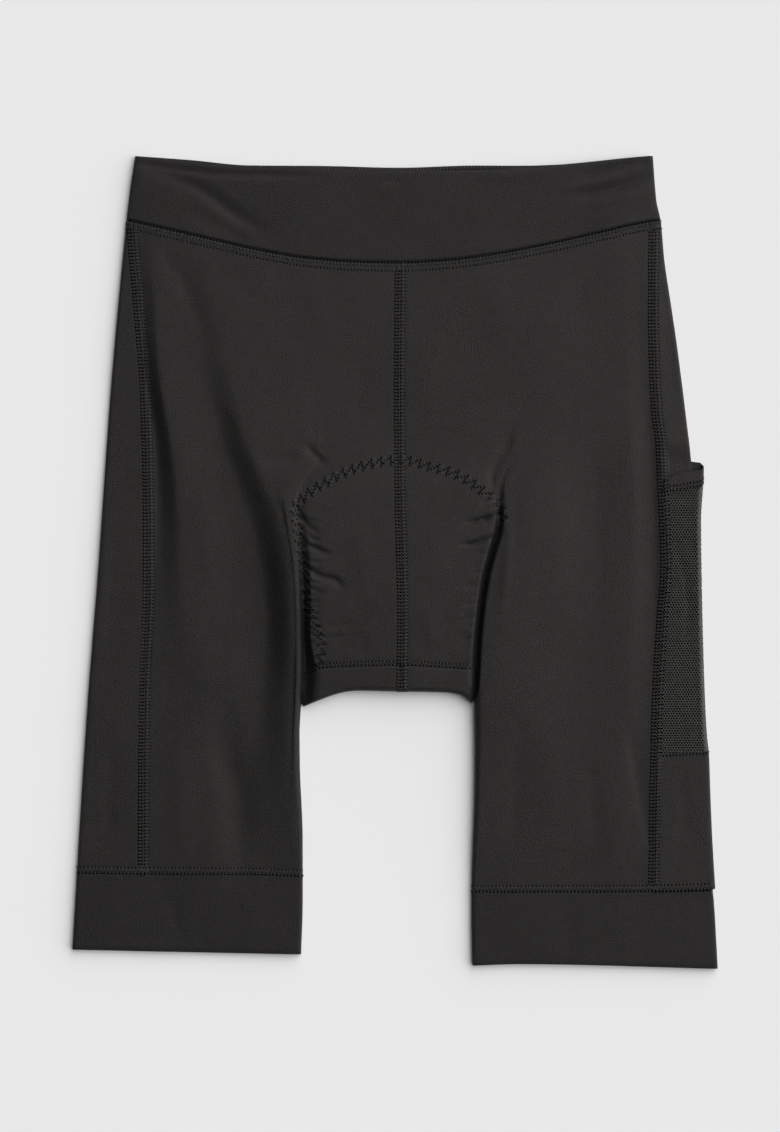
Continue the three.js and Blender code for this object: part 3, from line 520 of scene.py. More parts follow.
def slope_factor(side, x, y):
    """How many times thicker a sloping wall is when it is measured straight down."""
    dx = (base_height(side, x + 1, y) - base_height(side, x - 1, y)) / 2
    dy = (base_height(side, x, y + 1) - base_height(side, x, y - 1)) / 2
    return np.sqrt(1 + dx ** 2 + dy ** 2)


def points(x, y, z):
    return np.stack(np.broadcast_arrays(x, y, z), -1).astype(float)


def top_points(side, x, y, wall, drop=0):
    """Points of the front layer: the outer face, and the inner face below it."""
    z = height(side, x, y) - drop
    inner = np.maximum(z - wall * slope_factor(side, x, y), LAYER_FLOOR)
    return points(x, y, z), points(x, y, inner)


def under_points(x, y, wall, lift=0):
    """Points of the layer that lies on the ground."""
    return points(x, y, UNDER + lift), points(x, y, UNDER + lift + wall)


def fold_points(tip, outwards, reach, y, degrees, wall, top, lift=0):
    """Points of a rounded fold, an upright half ellipse from the front layer (90) to the back
    (-90). tip is the fold's outermost x, outwards its direction and reach its width."""
    angle = np.radians(degrees)
    bottom = UNDER + lift
    half = (top - bottom) / 2
    middle = tip - outwards * reach

    def at(wide, high):
        return points(middle + outwards * wide * np.cos(angle), y,
                      bottom + half + high * np.sin(angle))

    return at(reach, half), at(reach - wall, half - wall)


def outer_bend(side, y, degrees, wall, top):
    """The fold at the garment's outline."""
    return fold_points(side.outline(y), -side.inward, EDGE_FOLD, y, degrees, wall, top)


def inner_bend(side, y, degrees, wall, top):
    """The leg's inner fold."""
    return fold_points(side.inner_edge(y), side.inward, side.inner_fold(y), y, degrees, wall, top)


# Grids. A block of columns or rows is (first edge, last edge, shares of the way between them).

def count_lines(blocks):
    return sum(len(shares) for _, _, shares in blocks)


def chain(*parts):
    """Blocks that follow each other, from edge, shares, edge, shares, and so on to an edge."""
    return list(zip(parts[:-1:2], parts[2::2], parts[1::2]))


def crossings(blocks, along, axis):
    """Where the lines of blocks lie, at the places along them."""
    cuts = np.cumsum([len(shares) for _, _, shares in blocks])[:-1]
    return np.concatenate([mix(a(part), b(part), np.expand_dims(shares, 1 - axis))
                           for (a, b, shares), part in zip(blocks, np.split(along, cuts, axis))],
                          axis)


def columns_at(blocks, y):
    return crossings(blocks, y, 1)


def lattice(column_x, width, rows):
    """Places where a grid's columns, x(y) of an array, cross its blocks of rows."""
    x = np.zeros((count_lines(rows), width))
    for _ in range(6):
        y = crossings(rows, x, 0)
        x = column_x(y)
    return x, y


def block_lattice(columns, rows):
    return lattice(lambda y: columns_at(columns, y), count_lines(columns), rows)


def steps(count):
    """Shares of a block that ends where the next one begins."""
    return np.arange(count) / count


SEAM_STRIP = 5.2  # beside a seam the columns and rows are closer, over this width
strip_shares = np.array([0, 0.5, 1, 1.6, 2.1, 2.6, 3.05, 3.5, 4.2]) / SEAM_STRIP
strip_in = 1 - strip_shares[:0:-1]  # the way back, towards the seam
strip_to_end = np.append(strip_in, 1)
WAIST_STRIP = 7.5  # the same below the waist seam, with its wide allowance
waist_shares = np.array([0, 0.35, 0.75, 1.2, 1.9, 2.7, 3.6, 4.5, 5.3, 5.8, 6.4, 6.9]) / WAIST_STRIP
END = np.array([1.0])  # a single line, at a block's last edge


def row_blocks(side, coarse=1.0):
    """Blocks of rows from the waist seam to the cross seam, and from there to the hem. A coarse
    of 2 makes them half as many."""
    def count(n):
        return max(2, round(n / coarse))

    waist = shifted(waist_seam, -GAP / 2)
    hem = shifted(side.hem_seam, GAP / 2)
    cross = shifted(cross_seam, GAP / 2)
    torso = chain(
        waist, waist_shares,
        shifted(waist, -WAIST_STRIP), steps(count(36)),
        constant(WAIST_BLEND_Y), steps(count(50)),
        constant(PAD_FINE_Y), steps(count(78)),
        constant(PAD_END_Y), steps(count(6)),
        shifted(cross, SEAM_STRIP), strip_in, cross)
    leg = chain(
        cross, steps(count(14)),
        constant(CROTCH_Y), steps(count(60)),
        shifted(hem, SEAM_STRIP), strip_to_end, hem)
    return torso, leg


# Closed cloth walls

def add_mesh(name, vertices, faces):
    """A mesh of faces that all have the same number of corners, from places in millimetres."""
    mesh = bpy.data.meshes.new(name)
    mesh.vertices.add(len(vertices))
    mesh.vertices.foreach_set("co", (np.asarray(vertices) * MM).astype(np.float32).ravel())
    mesh.loops.add(faces.size)
    mesh.loops.foreach_set("vertex_index", faces.astype(np.int32).ravel())
    mesh.polygons.add(len(faces))
    starts = np.arange(0, faces.size, faces.shape[1], dtype=np.int32)
    mesh.polygons.foreach_set("loop_start", starts)
    mesh.update(calc_edges=True)
    mesh.validate()
    mesh.shade_smooth()
    piece = bpy.data.objects.new(name, mesh)
    bpy.context.scene.collection.objects.link(piece)
    return piece


def add_wall(name, outer, inner, quads):
    """A closed wall between outer and inner points: both faces, and a rim along each free edge."""
    count = len(outer)
    edges = np.stack([quads, np.roll(quads, -1, axis=1)], -1).reshape(-1, 2)
    forward = edges[:, 0] * count + edges[:, 1]
    backward = edges[:, 1] * count + edges[:, 0]
    free = edges[~np.isin(forward, backward)]
    rim = np.stack([free[:, 1], free[:, 0], free[:, 0] + count, free[:, 1] + count], -1)
    faces = np.concatenate([quads, quads[:, ::-1] + count, rim])
    piece = add_mesh(name, np.concatenate([outer, inner]), faces)
    piece.data.set_sharp_from_angle(angle=math.radians(50))
    return piece


def welded(places, digits):
    """Which places to keep so that none coincide, and for each place the kept one it stands for."""
    _, first, ids = np.unique(np.round(places, digits), axis=0, return_index=True,
                              return_inverse=True)
    return first, ids.ravel()


def add_cloth(name, patches, flip):
    """A cloth wall from grids of (outer, inner) points, joined where their points coincide."""
    both = [np.concatenate(patch, axis=-1) for patch in patches]
    flat = np.concatenate([grid.reshape(-1, 6) for grid in both])
    first, ids = welded(flat, 3)
    quads = []
    done = 0
    for grid in both:
        rows, columns = grid.shape[:2]
        at = ids[done:done + rows * columns].reshape(rows, columns)
        done += rows * columns
        corners = [at[:-1, :-1], at[1:, :-1], at[1:, 1:], at[:-1, 1:]]
        quads.append(np.stack(corners, -1).reshape(-1, 4))
    quads = np.concatenate(quads)
    if flip:
        quads = quads[:, ::-1]
    kept = flat[first]
    return add_wall(name, kept[:, :3], kept[:, 3:], quads)


def panel_columns(side):
    """Blocks of columns from the side seam to the centre seam, and where each line's column is."""
    toward = side.inward
    lines = side.lines
    seam = shifted(lines["seam"].x, toward * GAP / 2)
    middle = shifted(centre.x, -toward * GAP / 2)
    beside_middle = shifted(middle, -toward * SEAM_STRIP)
    strip_end = shifted(seam, toward * SEAM_STRIP)

    def clear_of_strip(line):
        return lambda y: strip_end(y) + toward * np.maximum(toward * (line(y) - strip_end(y)), 1.5)

    starts = [strip_end, *[clear_of_strip(at.x) for at in list(lines.values())[1:]],
              beside_middle]
    blocks = [(seam, starts[0], strip_shares)]
    at = {}
    for name, a, b in zip(lines, starts, starts[1:]):
        at[name] = count_lines(blocks)
        blocks.append((a, b, steps(side.divisions[name])))
    blocks.append((beside_middle, middle, strip_to_end))
    return blocks, at


def front_panel(side):
    """From the side seam to the centre seam, and in the leg round its inner fold to the inseam."""
    columns, at = panel_columns(side)
    torso, leg = row_blocks(side)
    x, y = block_lattice(columns, torso + leg)
    outer, inner = top_points(side, x, y, SHEET)
    crest = at["crest"]
    groove = at["groove"]
    flank = slice(crest, groove + 1)
    down = y[:, flank]
    degrees = np.linspace(90, 0, groove + 1 - crest)
    top = outer[:, crest, 2][:, None]
    fold = inner_bend(side, down, degrees, SHEET, top)
    share = 1 - ramp(down, CROTCH_Y, CROTCH_Y + 10)[..., None]
    outer[:, flank] = mix(outer[:, flank], fold[0], share)
    inner[:, flank] = mix(inner[:, flank], fold[1], share)

    cross = count_lines(torso)
    first = cross + len(leg[0][2])
    y_tip = y[first:, groove][:, None]
    degrees = np.linspace(-15, -90, 6)
    fold = inner_bend(side, y_tip, degrees, SHEET, top[first:])
    heel = side.inner_edge(y_tip) - side.inward * side.inner_fold(y_tip)
    inseam = side.inner_edge(y_tip) - side.inward * INSEAM_IN
    flat = under_points(mix(heel, inseam, np.array([0.3, 0.65, 1])), y_tip, SHEET)
    under = [np.concatenate([main[first:, groove:groove + 1], bent, level], axis=1)
             for main, bent, level in zip((outer, inner), fold, flat)]
    patches = [(outer[:, :groove + 1], inner[:, :groove + 1]),
               (outer[:cross + 1, groove:], inner[:cross + 1, groove:]), under]
    return add_cloth(f"front_{side.name}", patches, side.inward < 0)


def ribbon_x(side, u, y, tip):
    """x of a ribbon round the outer fold. u runs from 0 at the front side seam to 2, round the
    fold to 6, and on to 8 at the back side seam."""
    start = tip(y) + side.inward * EDGE_FOLD
    front = side.lines["seam"].x(y) - side.inward * GAP / 2
    back = side.back_seam(y) - side.inward * GAP / 2
    return np.where(u < 2, mix(front, start, np.clip(u / 2, 0, 1)),
                    mix(start, back, np.clip((u - 6) / 2, 0, 1)))


def ribbon_points(side, u, y, wall, tip, drop=None, lift=None):
    """Points of a ribbon; drop(x, y) is how deep it lies and lift(y) how far off the ground."""
    u, y = np.broadcast_arrays(u, y)
    drop = drop or (lambda x, y: 0 * x)
    raised = lift(y) if lift else 0 * y
    x = ribbon_x(side, u, y, tip)
    start = tip(y) + side.inward * EDGE_FOLD
    top = top_points(side, x, y, wall, drop(x, y))
    edge = height(side, start, y) - drop(start, y)
    bent = fold_points(tip(y), -side.inward, EDGE_FOLD, y, 90 - 45 * np.clip(u - 2, 0, 4), wall,
                       edge, raised)
    flat = under_points(x, y, wall, raised)
    made = []
    for on_top, on_fold, below in zip(top, bent, flat):
        at = u[..., None]
        made.append(np.where(at < 2, on_top, np.where(at <= 6, on_fold, below)))
    return made


RIBBON_STATIONS = np.concatenate(
    [2 * steps(22) ** 1.3, np.linspace(2, 6, 9), 6 + 2 * steps(15)[1:], [8]])


def pocket_drop(x, y):
    """The side panel lies deeper under the pocket, and meets its seam at the front's level."""
    seam = left.lines["seam"].x(y)
    beside_seam = mix(1, ramp(x - seam, 0, 6), ramp(y, 50, 56))
    return POCKET_DROP * (1 - ramp(y, 66, 82)) * beside_seam


def side_panel(side):
    has_pocket = side is left
    torso, leg = row_blocks(side, coarse=1.9 if has_pocket else 1.15)
    u = RIBBON_STATIONS
    _, y = lattice(lambda y: ribbon_x(side, u, y, side.outline), len(u), torso + leg)
    drop = pocket_drop if has_pocket else None
    lift = (lambda y: POCKET_LIFT * (1 - ramp(y, 80, 98))) if has_pocket else None
    grid = ribbon_points(side, u, y, SHEET, side.outline, drop, lift)
    return add_cloth(f"side_{side.name}", [grid], side.inward > 0)


# Back panels: flat on the ground. Between the legs they roll up round the crotch edge, as a lip
# that meets the cross seam.

def back_panel(side):
    toward = side.inward
    torso, leg = row_blocks(side, coarse=1.9)
    upper = torso[:4]
    seam = shifted(side.back_seam, toward * GAP / 2)
    groin_in = toward * (INSEAM_IN + GAP)

    def groin(y):
        return side.inner_edge(np.minimum(y, CROTCH_Y)) - groin_in

    lower = chain(constant(PAD_END_Y), steps(12), constant(CROTCH_Y))
    x, y = block_lattice(chain(seam, steps(26), groin, END, groin), upper + lower + leg[1:])
    leg_side = under_points(x, y, SHEET)

    start = shifted(side.lines["groove"].x, toward * 0.5)
    middle = shifted(centre.x, -toward * GAP / 2)
    shares = np.concatenate([[0, 0.02, 0.05, 0.09], np.linspace(0.13, 0.86, 14),
                             [0.9, 0.93, 0.95, 0.97, 0.985, 1]])
    # The lip's rolled edge reaches further in where the cloth stands higher.
    lip_x = mix(start(CROTCH_Y), middle(CROTCH_Y), shares)
    tip = crotch_edge(lip_x)
    tall = height(side, lip_x, tip + 3)
    reach = np.clip(0.45 * tall, SHEET + 0.6, 3.2)
    foot = np.maximum(tip + reach, CROTCH_Y + GAP)
    top = height(side, lip_x, foot)

    # Rows above the lip, then down to its foot; the groin's column goes on to the crotch line.
    columns = [(start, middle, shares)]
    x_upper, y_upper = block_lattice(columns, upper)
    _, y_groin = block_lattice([(groin, groin, END)], upper)
    down = np.append(steps(12), 1)[:, None]
    y_lower = mix(PAD_END_Y, foot[None, :], down)
    x_lower = mix(columns_at(columns, y_lower), lip_x, down)
    y_groin_lower = mix(PAD_END_Y, CROTCH_Y, down)
    x_all = np.concatenate([x_upper, x_lower])
    y_all = np.concatenate([y_upper, y_lower])
    groin_y = np.concatenate([y_groin, y_groin_lower])
    bridge = np.array([0.25, 0.5, 0.75])
    x_full = np.concatenate([groin(groin_y), mix(groin(groin_y), x_all[:, :1], bridge), x_all], 1)
    y_full = np.concatenate([groin_y, mix(groin_y, y_all[:, :1], bridge), y_all], 1)
    middle_part = under_points(x_full, y_full, SHEET)

    degrees = np.linspace(-90, 90, 13)[:, None]
    # The fold's helper works across x, so the lip's x and y change places in it and back.
    turned = fold_points(foot - reach, -1, reach, lip_x, degrees, SHEET, top)
    roll = [grid[..., [1, 0, 2]] for grid in turned]
    rise = np.linspace(0, 1, 16)[1:, None]
    seam_y = cross_seam(columns_at(columns, cross_seam(lip_x)[None, :])[0])
    y_lip = mix(foot, seam_y - GAP / 2, rise)
    x_lip = mix(lip_x, columns_at(columns, y_lip), rise)
    lip = top_points(side, x_lip, y_lip, SHEET)
    lip_part = [np.concatenate(pair, axis=0) for pair in zip(roll, lip)]
    return add_cloth(f"back_{side.name}", [leg_side, middle_part, lip_part], toward > 0)


def hem_band(side):
    """A flat tube round the leg, from the hem seam to the leg's edge."""
    toward = side.inward
    across = np.linspace(0, 1, 80)[1:-1]
    arc = np.linspace(90, -90, 13)
    back = np.linspace(0, 1, 34)[1:-1]
    start = side.start

    def finish(y):
        return side.inner_edge(y) - toward * side.inner_fold(y)

    columns = chain(start, END, start, across, finish, 0 * arc, finish, back, start, 0 * arc, start)
    shares = np.concatenate([[0, 0.007, 0.015, 0.025, 0.04, 0.06], np.linspace(0.085, 0.96, 24),
                             [0.98, 1]])
    x, y = block_lattice(columns, [(shifted(side.hem_seam, -GAP / 2), side.hem_edge, shares)])
    # The band's lower edge is a fold: its face rolls down there.
    rolled = 0.5 * ramp(shares, 0.965, 1)[:, None]
    top = top_points(side, x, y, BAND_SHEET, rolled)
    begin = len(across) + 1
    inner_top = height(side, finish(y[:, begin:begin + 1]), y[:, begin:begin + 1]) - rolled
    outer_top = height(side, start(y[:, :1]), y[:, :1]) - rolled
    y_inner = y[:, begin:begin + len(arc)]
    y_outer = y[:, -len(arc):]
    bent_in = inner_bend(side, y_inner, arc, BAND_SHEET, inner_top)
    bent_out = outer_bend(side, y_outer, -arc, BAND_SHEET, outer_top)
    flat = under_points(x, y, BAND_SHEET)
    under = slice(begin + len(arc), -len(arc))
    grid = [np.concatenate([out[:, -1:], on_top[:, 1:begin], turn, below[:, under], out], axis=1)
            for on_top, turn, below, out in zip(top, bent_in, flat, bent_out)]
    return add_cloth(f"hem_{side.name}", [grid], toward < 0)


def waistband(is_front):
    """The front or the back layer of the waistband, as far as the outermost line of the folds."""
    count = 190 if is_front else 110
    sign = 1 if is_front else -1
    arc = np.array([0, 15, 30, 45, 60, 75, 90]) * sign
    top_edge = front_top if is_front else back_top
    lower = shifted(waist_seam, GAP / 2)
    shares = np.concatenate([[0, 0.007, 0.015, 0.026, 0.04, 0.06],
                             np.linspace(0.085, 0.95, 30 if is_front else 18), [0.97, 0.985, 1]])
    across = np.linspace(0, 1, count + 1)[1:-1]
    x, y = block_lattice(chain(right.start, 0.0 * arc, right.start, across, left.start, 0.0 * arc,
                               left.start), [(lower, top_edge, shares)])
    rolled = 0.45 * ramp(shares, 0.96, 1)[:, None]
    n = len(arc)
    if is_front:
        halves = [top_points(side, x, y, BAND_SHEET, rolled) for side in (right, left)]
        on_right = (x < centre.x(y))[..., None]
        grids = [np.where(on_right, a, b) for a, b in zip(*halves)]
    else:
        grids = under_points(x, y, BAND_SHEET)
    ends = []
    for side, part, turn in ((right, slice(0, n), arc), (left, slice(-n, None), arc[::-1])):
        at = y[:, part]
        top = height(side, side.start(at), at) - rolled
        ends.append(outer_bend(side, at, turn, BAND_SHEET, top))
    grid = [np.concatenate([first, body[:, n:-n], last], axis=1)
            for first, body, last in zip(ends[0], grids, ends[1])]
    if not is_front:
        # The two layers are sewn to each other at the folds, a thread's width apart.
        for face in grid:
            face[:, [0, -1], 2] -= GAP
    return add_cloth("waist_front" if is_front else "waist_back", [grid], is_front)


# Pocket on the left side panel. At u along the ribbon, y of its mouth, of the binding's foot and
# of the net's foot
pocket = dict(zip(("mouth", "binding_foot", "net_foot"), curves(
    (0, 53.9, 46.9, -131), (1, 60.5, 48.4, -130), (2, 62.4, 50.6, -129.2),
    (3, 63.6, 51.8, -128.7), (4, 64.8, 53.1, -128.2), (5, 66, 54.5, -128.2),
    (6, 67.5, 56, -128.5), (7, 72, 60.5, -129.5), (8, 78, 66.5, -131))))


UNDER_PROUD = 0.4  # share of it that is left on the underside


def pocket_piece(name, above, below, rows, wall, proud):
    """A piece of the pocket, between two edges y(u, x), standing proud of the net."""
    u = RIBBON_STATIONS
    tip = shifted(pocket_outline, proud)
    y = np.zeros((len(rows), len(u)))
    for _ in range(4):
        x = ribbon_x(left, u, y, tip)
        y = mix(above(u, x), below(u, x), rows[:, None])
    grid = ribbon_points(left, u, y, wall, tip, lambda x, y: -proud + 0 * x,
                         constant(-UNDER_PROUD * proud))
    return add_cloth(name, [grid], False)


NET_PITCH = 1.9  # from hole to hole
NET_LOW = -133  # the net's cells are laid out from here
NET_HIGH = 70
NET_LONG = 95  # along the ribbon, where it is longest
HOLE_SHARE = 0.68  # of the way from a hole's centre to its cell's corners
CLOSED_SHARE = 0.1  # the same round the outer fold
YARN_RISE = 0.2  # the yarn is round: it rises between the holes and sinks towards them
HOLE_SINK = -0.1


def pocket_net():
    """A knitted net: hexagonal cells, each with a hole, bent along the pocket's ribbon."""
    half_height = 2.8
    arc = math.pi * math.hypot(EDGE_FOLD, half_height) / math.sqrt(2)
    lift = 0.5 * math.sqrt(3) * NET_PITCH
    rows = np.arange(round((NET_HIGH - NET_LOW) / lift))
    columns = np.arange(round(NET_LONG / NET_PITCH))
    row, column = [grid.ravel() for grid in np.meshgrid(rows, columns, indexing="ij")]
    centre_p = (column + 0.5 * (row % 2)) * NET_PITCH
    centre_y = NET_LOW + row * lift

    def station(p, y):
        """The ribbon's u at p mm along it, and the ribbon's whole length."""
        start = pocket_outline(y) - EDGE_FOLD
        front = start - left.lines["seam"].x(y)
        back = start - left.back_seam(y)
        return np.where(p < front, 2 * p / front,
                        np.where(p < front + arc, 2 + 4 * (p - front) / arc,
                                 6 + 2 * (p - front - arc) / back)), front + arc + back

    u, whole = station(centre_p, centre_y)
    kept = (centre_p < whole - 0.4) & (centre_y > pocket["net_foot"](u) - 1.2)
    kept &= centre_y < pocket["binding_foot"](u) + 2.2
    centre_p = centre_p[kept][:, None]
    centre_y = centre_y[kept][:, None]
    angle = np.radians(30 + 60 * np.arange(6))
    corner = NET_PITCH / math.sqrt(3)
    # Round the fold the holes close, where the stretched yarns lie side by side.
    bend = u[kept][:, None]
    opening = corner * mix(HOLE_SHARE, CLOSED_SHARE, plateau(bend, 1.88, 2.05, 6.25, 6.6))
    corners, holes = [
        np.stack([centre_p + reach * np.cos(angle), centre_y + reach * np.sin(angle)], -1)
        for reach in (corner, opening)]
    flat = np.concatenate([corners.reshape(-1, 2), holes.reshape(-1, 2)])
    first, ids = welded(flat, 2)
    count = corners.shape[0] * 6
    outside = ids[:count].reshape(-1, 6)
    inside = ids[count:].reshape(-1, 6)
    quads = np.stack([outside, np.roll(outside, -1, 1), np.roll(inside, -1, 1), inside], -1)
    p, y = flat[first].T
    on_ridge = np.zeros(len(p), bool)
    on_ridge[outside.ravel()] = True
    _, whole = station(p, y)
    p = np.clip(p, 0, whole)
    u, _ = station(p, y)
    edge = np.minimum(y - pocket["net_foot"](u), pocket["binding_foot"](u) - y)
    tuck = 0.35 * (1 - ramp(edge, -1, 1.5))
    outer, inner = ribbon_points(left, u, y, NET_SHEET, pocket_outline, lambda x, y: tuck)
    out = outer - inner
    out /= np.linalg.norm(out, axis=1)[:, None]
    outer = outer + out * np.where(on_ridge, YARN_RISE, HOLE_SINK)[:, None]
    return add_wall("pocket_net_cloth", outer, inner, quads.reshape(-1, 4))


# Seat pad: a foam body between the two layers, quilted by channels along and across it

def seat_pad():
    from_x, to_x = curves(
        (61, -10, 14), (57, -27, 31), (50, -41, 46), (40, -52, 57), (26, -55, 60), (5, -53, 55),
        (-20, -50, 48), (-45, -45, 45), (-65, -42, 43), (-80, -38, 39))
    y = np.linspace(-80, 61, 90)[::-1, None]
    share = (0.5 - 0.5 * np.cos(np.linspace(0, math.pi, 80)))[None, :]
    x = mix(from_x(y), to_x(y), share)
    side_z = np.where(x < centre.x(y), base_height(right, x, y), base_height(left, x, y))
    # The pad thins out over the last 10 mm before its rim, to 0.3 of its height.
    rim = np.minimum(np.minimum(x - from_x(y), to_x(y) - x), np.minimum(63 - y, y + 82))
    crown = mix(0.3, 1, np.sqrt(ramp(rim, 0, 10)))
    beside = x - centre.x(y)
    channel = dent(np.abs(beside), 17, 1.6, 1.2) + dent(beside, 0, 2, 1.5)
    channel = channel + dent(y, 26, 1.6, 0.8) + dent(y, -34, 1.6, 0.8)
    full = side_z - SHEET * 1.5 - 0.5
    low = UNDER + SHEET + 0.35
    top = np.maximum(mix(low, full + channel, crown), low + 0.4)
    outer = points(x, y, top)
    inner = points(x, y, low + 0 * x)
    return add_cloth("seat_pad_foam", [(outer, inner)], False)


# Threads: every stitch is a short bent tube, with a dark lens of painted shade at the needle hole
# behind it

THREAD = 0.22  # radius of the sewing threads
UNDER_THREAD = 0.11  # finer where the cloth rests on them
RING_SHARES = (0, 0.3, 0.7, 1)  # of the way along a stitch
RING_LIFTS = (-0.5, 0.7, 0.7, -0.5)  # off the cloth, in thread radii
RING_SIZES = (0.75, 1, 1, 0.75)  # of the tube, in thread radii
SHADE_LENS_RIM = 0.1  # heights off the cloth of the dark lens of painted shade at a needle hole
SHADE_LENS_TOP = 0.16
SHADE_LENS_FOOT = -0.12
UNEVEN_ALONG = 0.03  # spread of the stitches' places, in pitches
UNEVEN_ASIDE = 0.04  # the same to the side, in mm
LINE_PLACES = 900  # on a seam's line
BACK_PLACES = 300  # on its way back on the underside
LOWEST = np.array([-np.inf, -np.inf, -0.15])  # the ground presses the lowest stitches flat
uneven = np.random.default_rng(11)
threads = {}
# dark lenses of painted shade at the needle holes, for all seams
painted_hole_shades = []


def sampler(places, normals):
    """Places and outward normals at shares of the way along a line of points."""
    step = np.linalg.norm(np.diff(places, axis=0), axis=1)
    along = np.concatenate([[0], np.cumsum(step)])
    columns = np.concatenate([places, normals], axis=1).T

    def at(share):
        made = np.stack([np.interp(share * along[-1], along, column) for column in columns], -1)
        return made[..., :3], made[..., 3:]

    at.length = along[-1]
    return at


def tubes(centres, normals, radius):
    """Four-sided tubes through rings of (ring, stitch, xyz) centres, closed at both ends."""
    along = np.gradient(centres, axis=0)
    along /= np.linalg.norm(along, axis=-1)[..., None]
    side = np.cross(along, normals)
    side /= np.linalg.norm(side, axis=-1)[..., None]
    up = np.cross(side, along)
    lift = radius * np.array(RING_LIFTS)[:, None, None]
    size = radius * np.array(RING_SIZES)[:, None, None]
    middle = centres + normals * lift
    corners = np.stack([middle + size * side, middle + size * up, middle - size * side,
                        middle - size * up], 2)
    rings, count = corners.shape[:2]
    vertices = corners.transpose(1, 0, 2, 3).reshape(-1, 3)
    ring = 4 * np.arange(rings - 1)[:, None]
    here = np.arange(4)
    after = (here + 1) % 4
    walls = np.stack([ring + here, ring + 4 + here, ring + 4 + after, ring + after], -1)
    last = 4 * (rings - 1)
    caps = np.array([[0, 1, 2, 3], [last + 3, last + 2, last + 1, last]])
    one = np.concatenate([walls.reshape(-1, 4), caps])
    return vertices, (one[None] + 4 * rings * np.arange(count)[:, None, None]).reshape(-1, 4)


def painted_shade_lenses(places, normals, along, radius):
    """Flat dark lenses of painted shade, standing for the shadow in needle holes."""
    along = along / np.linalg.norm(along, axis=-1)[:, None]
    side = np.cross(along, normals)
    raised = places + SHADE_LENS_RIM * normals
    rim = [raised + radius * way for way in (along, side, -along, -side)]
    corners = np.stack([*rim, places + SHADE_LENS_TOP * normals, places + SHADE_LENS_FOOT * normals], 1)
    pairs = [(0, 1), (1, 2), (2, 3), (3, 0)]
    one = np.array([(a, b, 4) for a, b in pairs] + [(b, a, 5) for a, b in pairs])
    faces = one[None, :, ::-1] + 6 * np.arange(len(places))[:, None, None]
    return corners.reshape(-1, 3), faces.reshape(-1, 3)


def sew(group, path, start, stop, pitch, reach=0.8, phase=0.0, radius=THREAD, hole_shade=0.3):
    """Stitches along a seam. path(offset) is the line at that distance beside the seam; each
    stitch runs from offset start to offset stop and over reach, a share of the pitch."""
    count = round(path(0).length / pitch)
    step = 1 / count
    first = step * (np.arange(count) + phase + uneven.normal(0, UNEVEN_ALONG, count))
    rings = [path(mix(start, stop, t))(first + step * reach * t) for t in RING_SHARES]
    centres = np.stack([place for place, _ in rings])
    normals = np.stack([normal for _, normal in rings])
    sideways = uneven.normal(0, UNEVEN_ASIDE, (1, count, 3)) * np.array([1, 1, 0])
    threads.setdefault(group, []).append(tubes(centres + sideways, normals, radius))
    # A dark lens of painted shade at each stitch's needle hole, of the radius given; none where it
    # is 0.
    if hole_shade:
        back = path(start)(first - step * (1 - reach) / 2)
        ahead = path(start)(first + step / 2)
        painted_hole_shades.append(painted_shade_lenses(*back, ahead[0] - back[0], hole_shade))


def joined(parts):
    """One list of vertices and faces from several, none of them below the ground."""
    starts = np.cumsum([0] + [len(vertices) for vertices, _ in parts])
    return (np.maximum(np.concatenate([vertices for vertices, _ in parts]), LOWEST),
            np.concatenate([faces + start for (_, faces), start in zip(parts, starts)]))


def pocket_proud(x, y):
    """How far the cloth beside the left side seam stands above the side panel's own face."""
    seam = left.lines["seam"].x(y)
    u = 2 * (x - seam) / (left.outer_outline(y) - EDGE_FOLD - seam)
    at_pocket = np.select(
        [y > pocket["mouth"](u), y > pocket["binding_foot"](u), y > pocket["net_foot"](u)],
        [-pocket_drop(x, y), BINDING_PROUD, NET_PROUD], LOWER_PROUD)
    return np.where(x > seam, at_pocket, 0)


def front_face(x, y):
    """Height of the outermost cloth as seen from above."""
    own = np.where(x < centre.x(y), height(right, x, y), height(left, x, y))
    return own + pocket_proud(x, y)


def facing(places, z):
    """Upright normals, up (1) or down (-1), for so many places."""
    return points(np.zeros(len(places)), 0, z)


def face_line(place, z_at, way=1):
    """A seam on the cloth's face from above (way 1) or on its underside (-1). place(offset) gives
    x and y of the line at that distance beside the seam."""
    def path(offset):
        x, y = place(offset)
        return sampler(points(x, y, z_at(x, y)), facing(x, way))
    return path


def down_line(x_at, y_from, y_to, z_at, way=1):
    y = np.linspace(y_from, y_to, LINE_PLACES)
    return face_line(lambda offset: (x_at(y) + offset, y), z_at, way)


def across_line(y_at, x_from, x_to, z_at):
    x = np.linspace(x_from, x_to, LINE_PLACES)
    return face_line(lambda offset: (x, y_at(x) + offset), z_at)


def free_line(corners, z_at, way=1):
    """A seam along a smooth line through given corners."""
    line = spline(corners, 16)
    ahead = np.gradient(line, axis=0)
    ahead /= np.linalg.norm(ahead, axis=1)[:, None]
    beside = ahead[:, ::-1] * [-1, 1]
    return face_line(lambda offset: (line + beside * offset).T, z_at, way)


FOLD_ARC = np.linspace(90, -90, 15)[1:-1]  # degrees of a seam's places round a fold


def fold_of(tip, outwards, reach):
    return SimpleNamespace(tip=tip, outwards=outwards, reach=reach,
                           start=lambda y: tip(y) - outwards * reach(y))


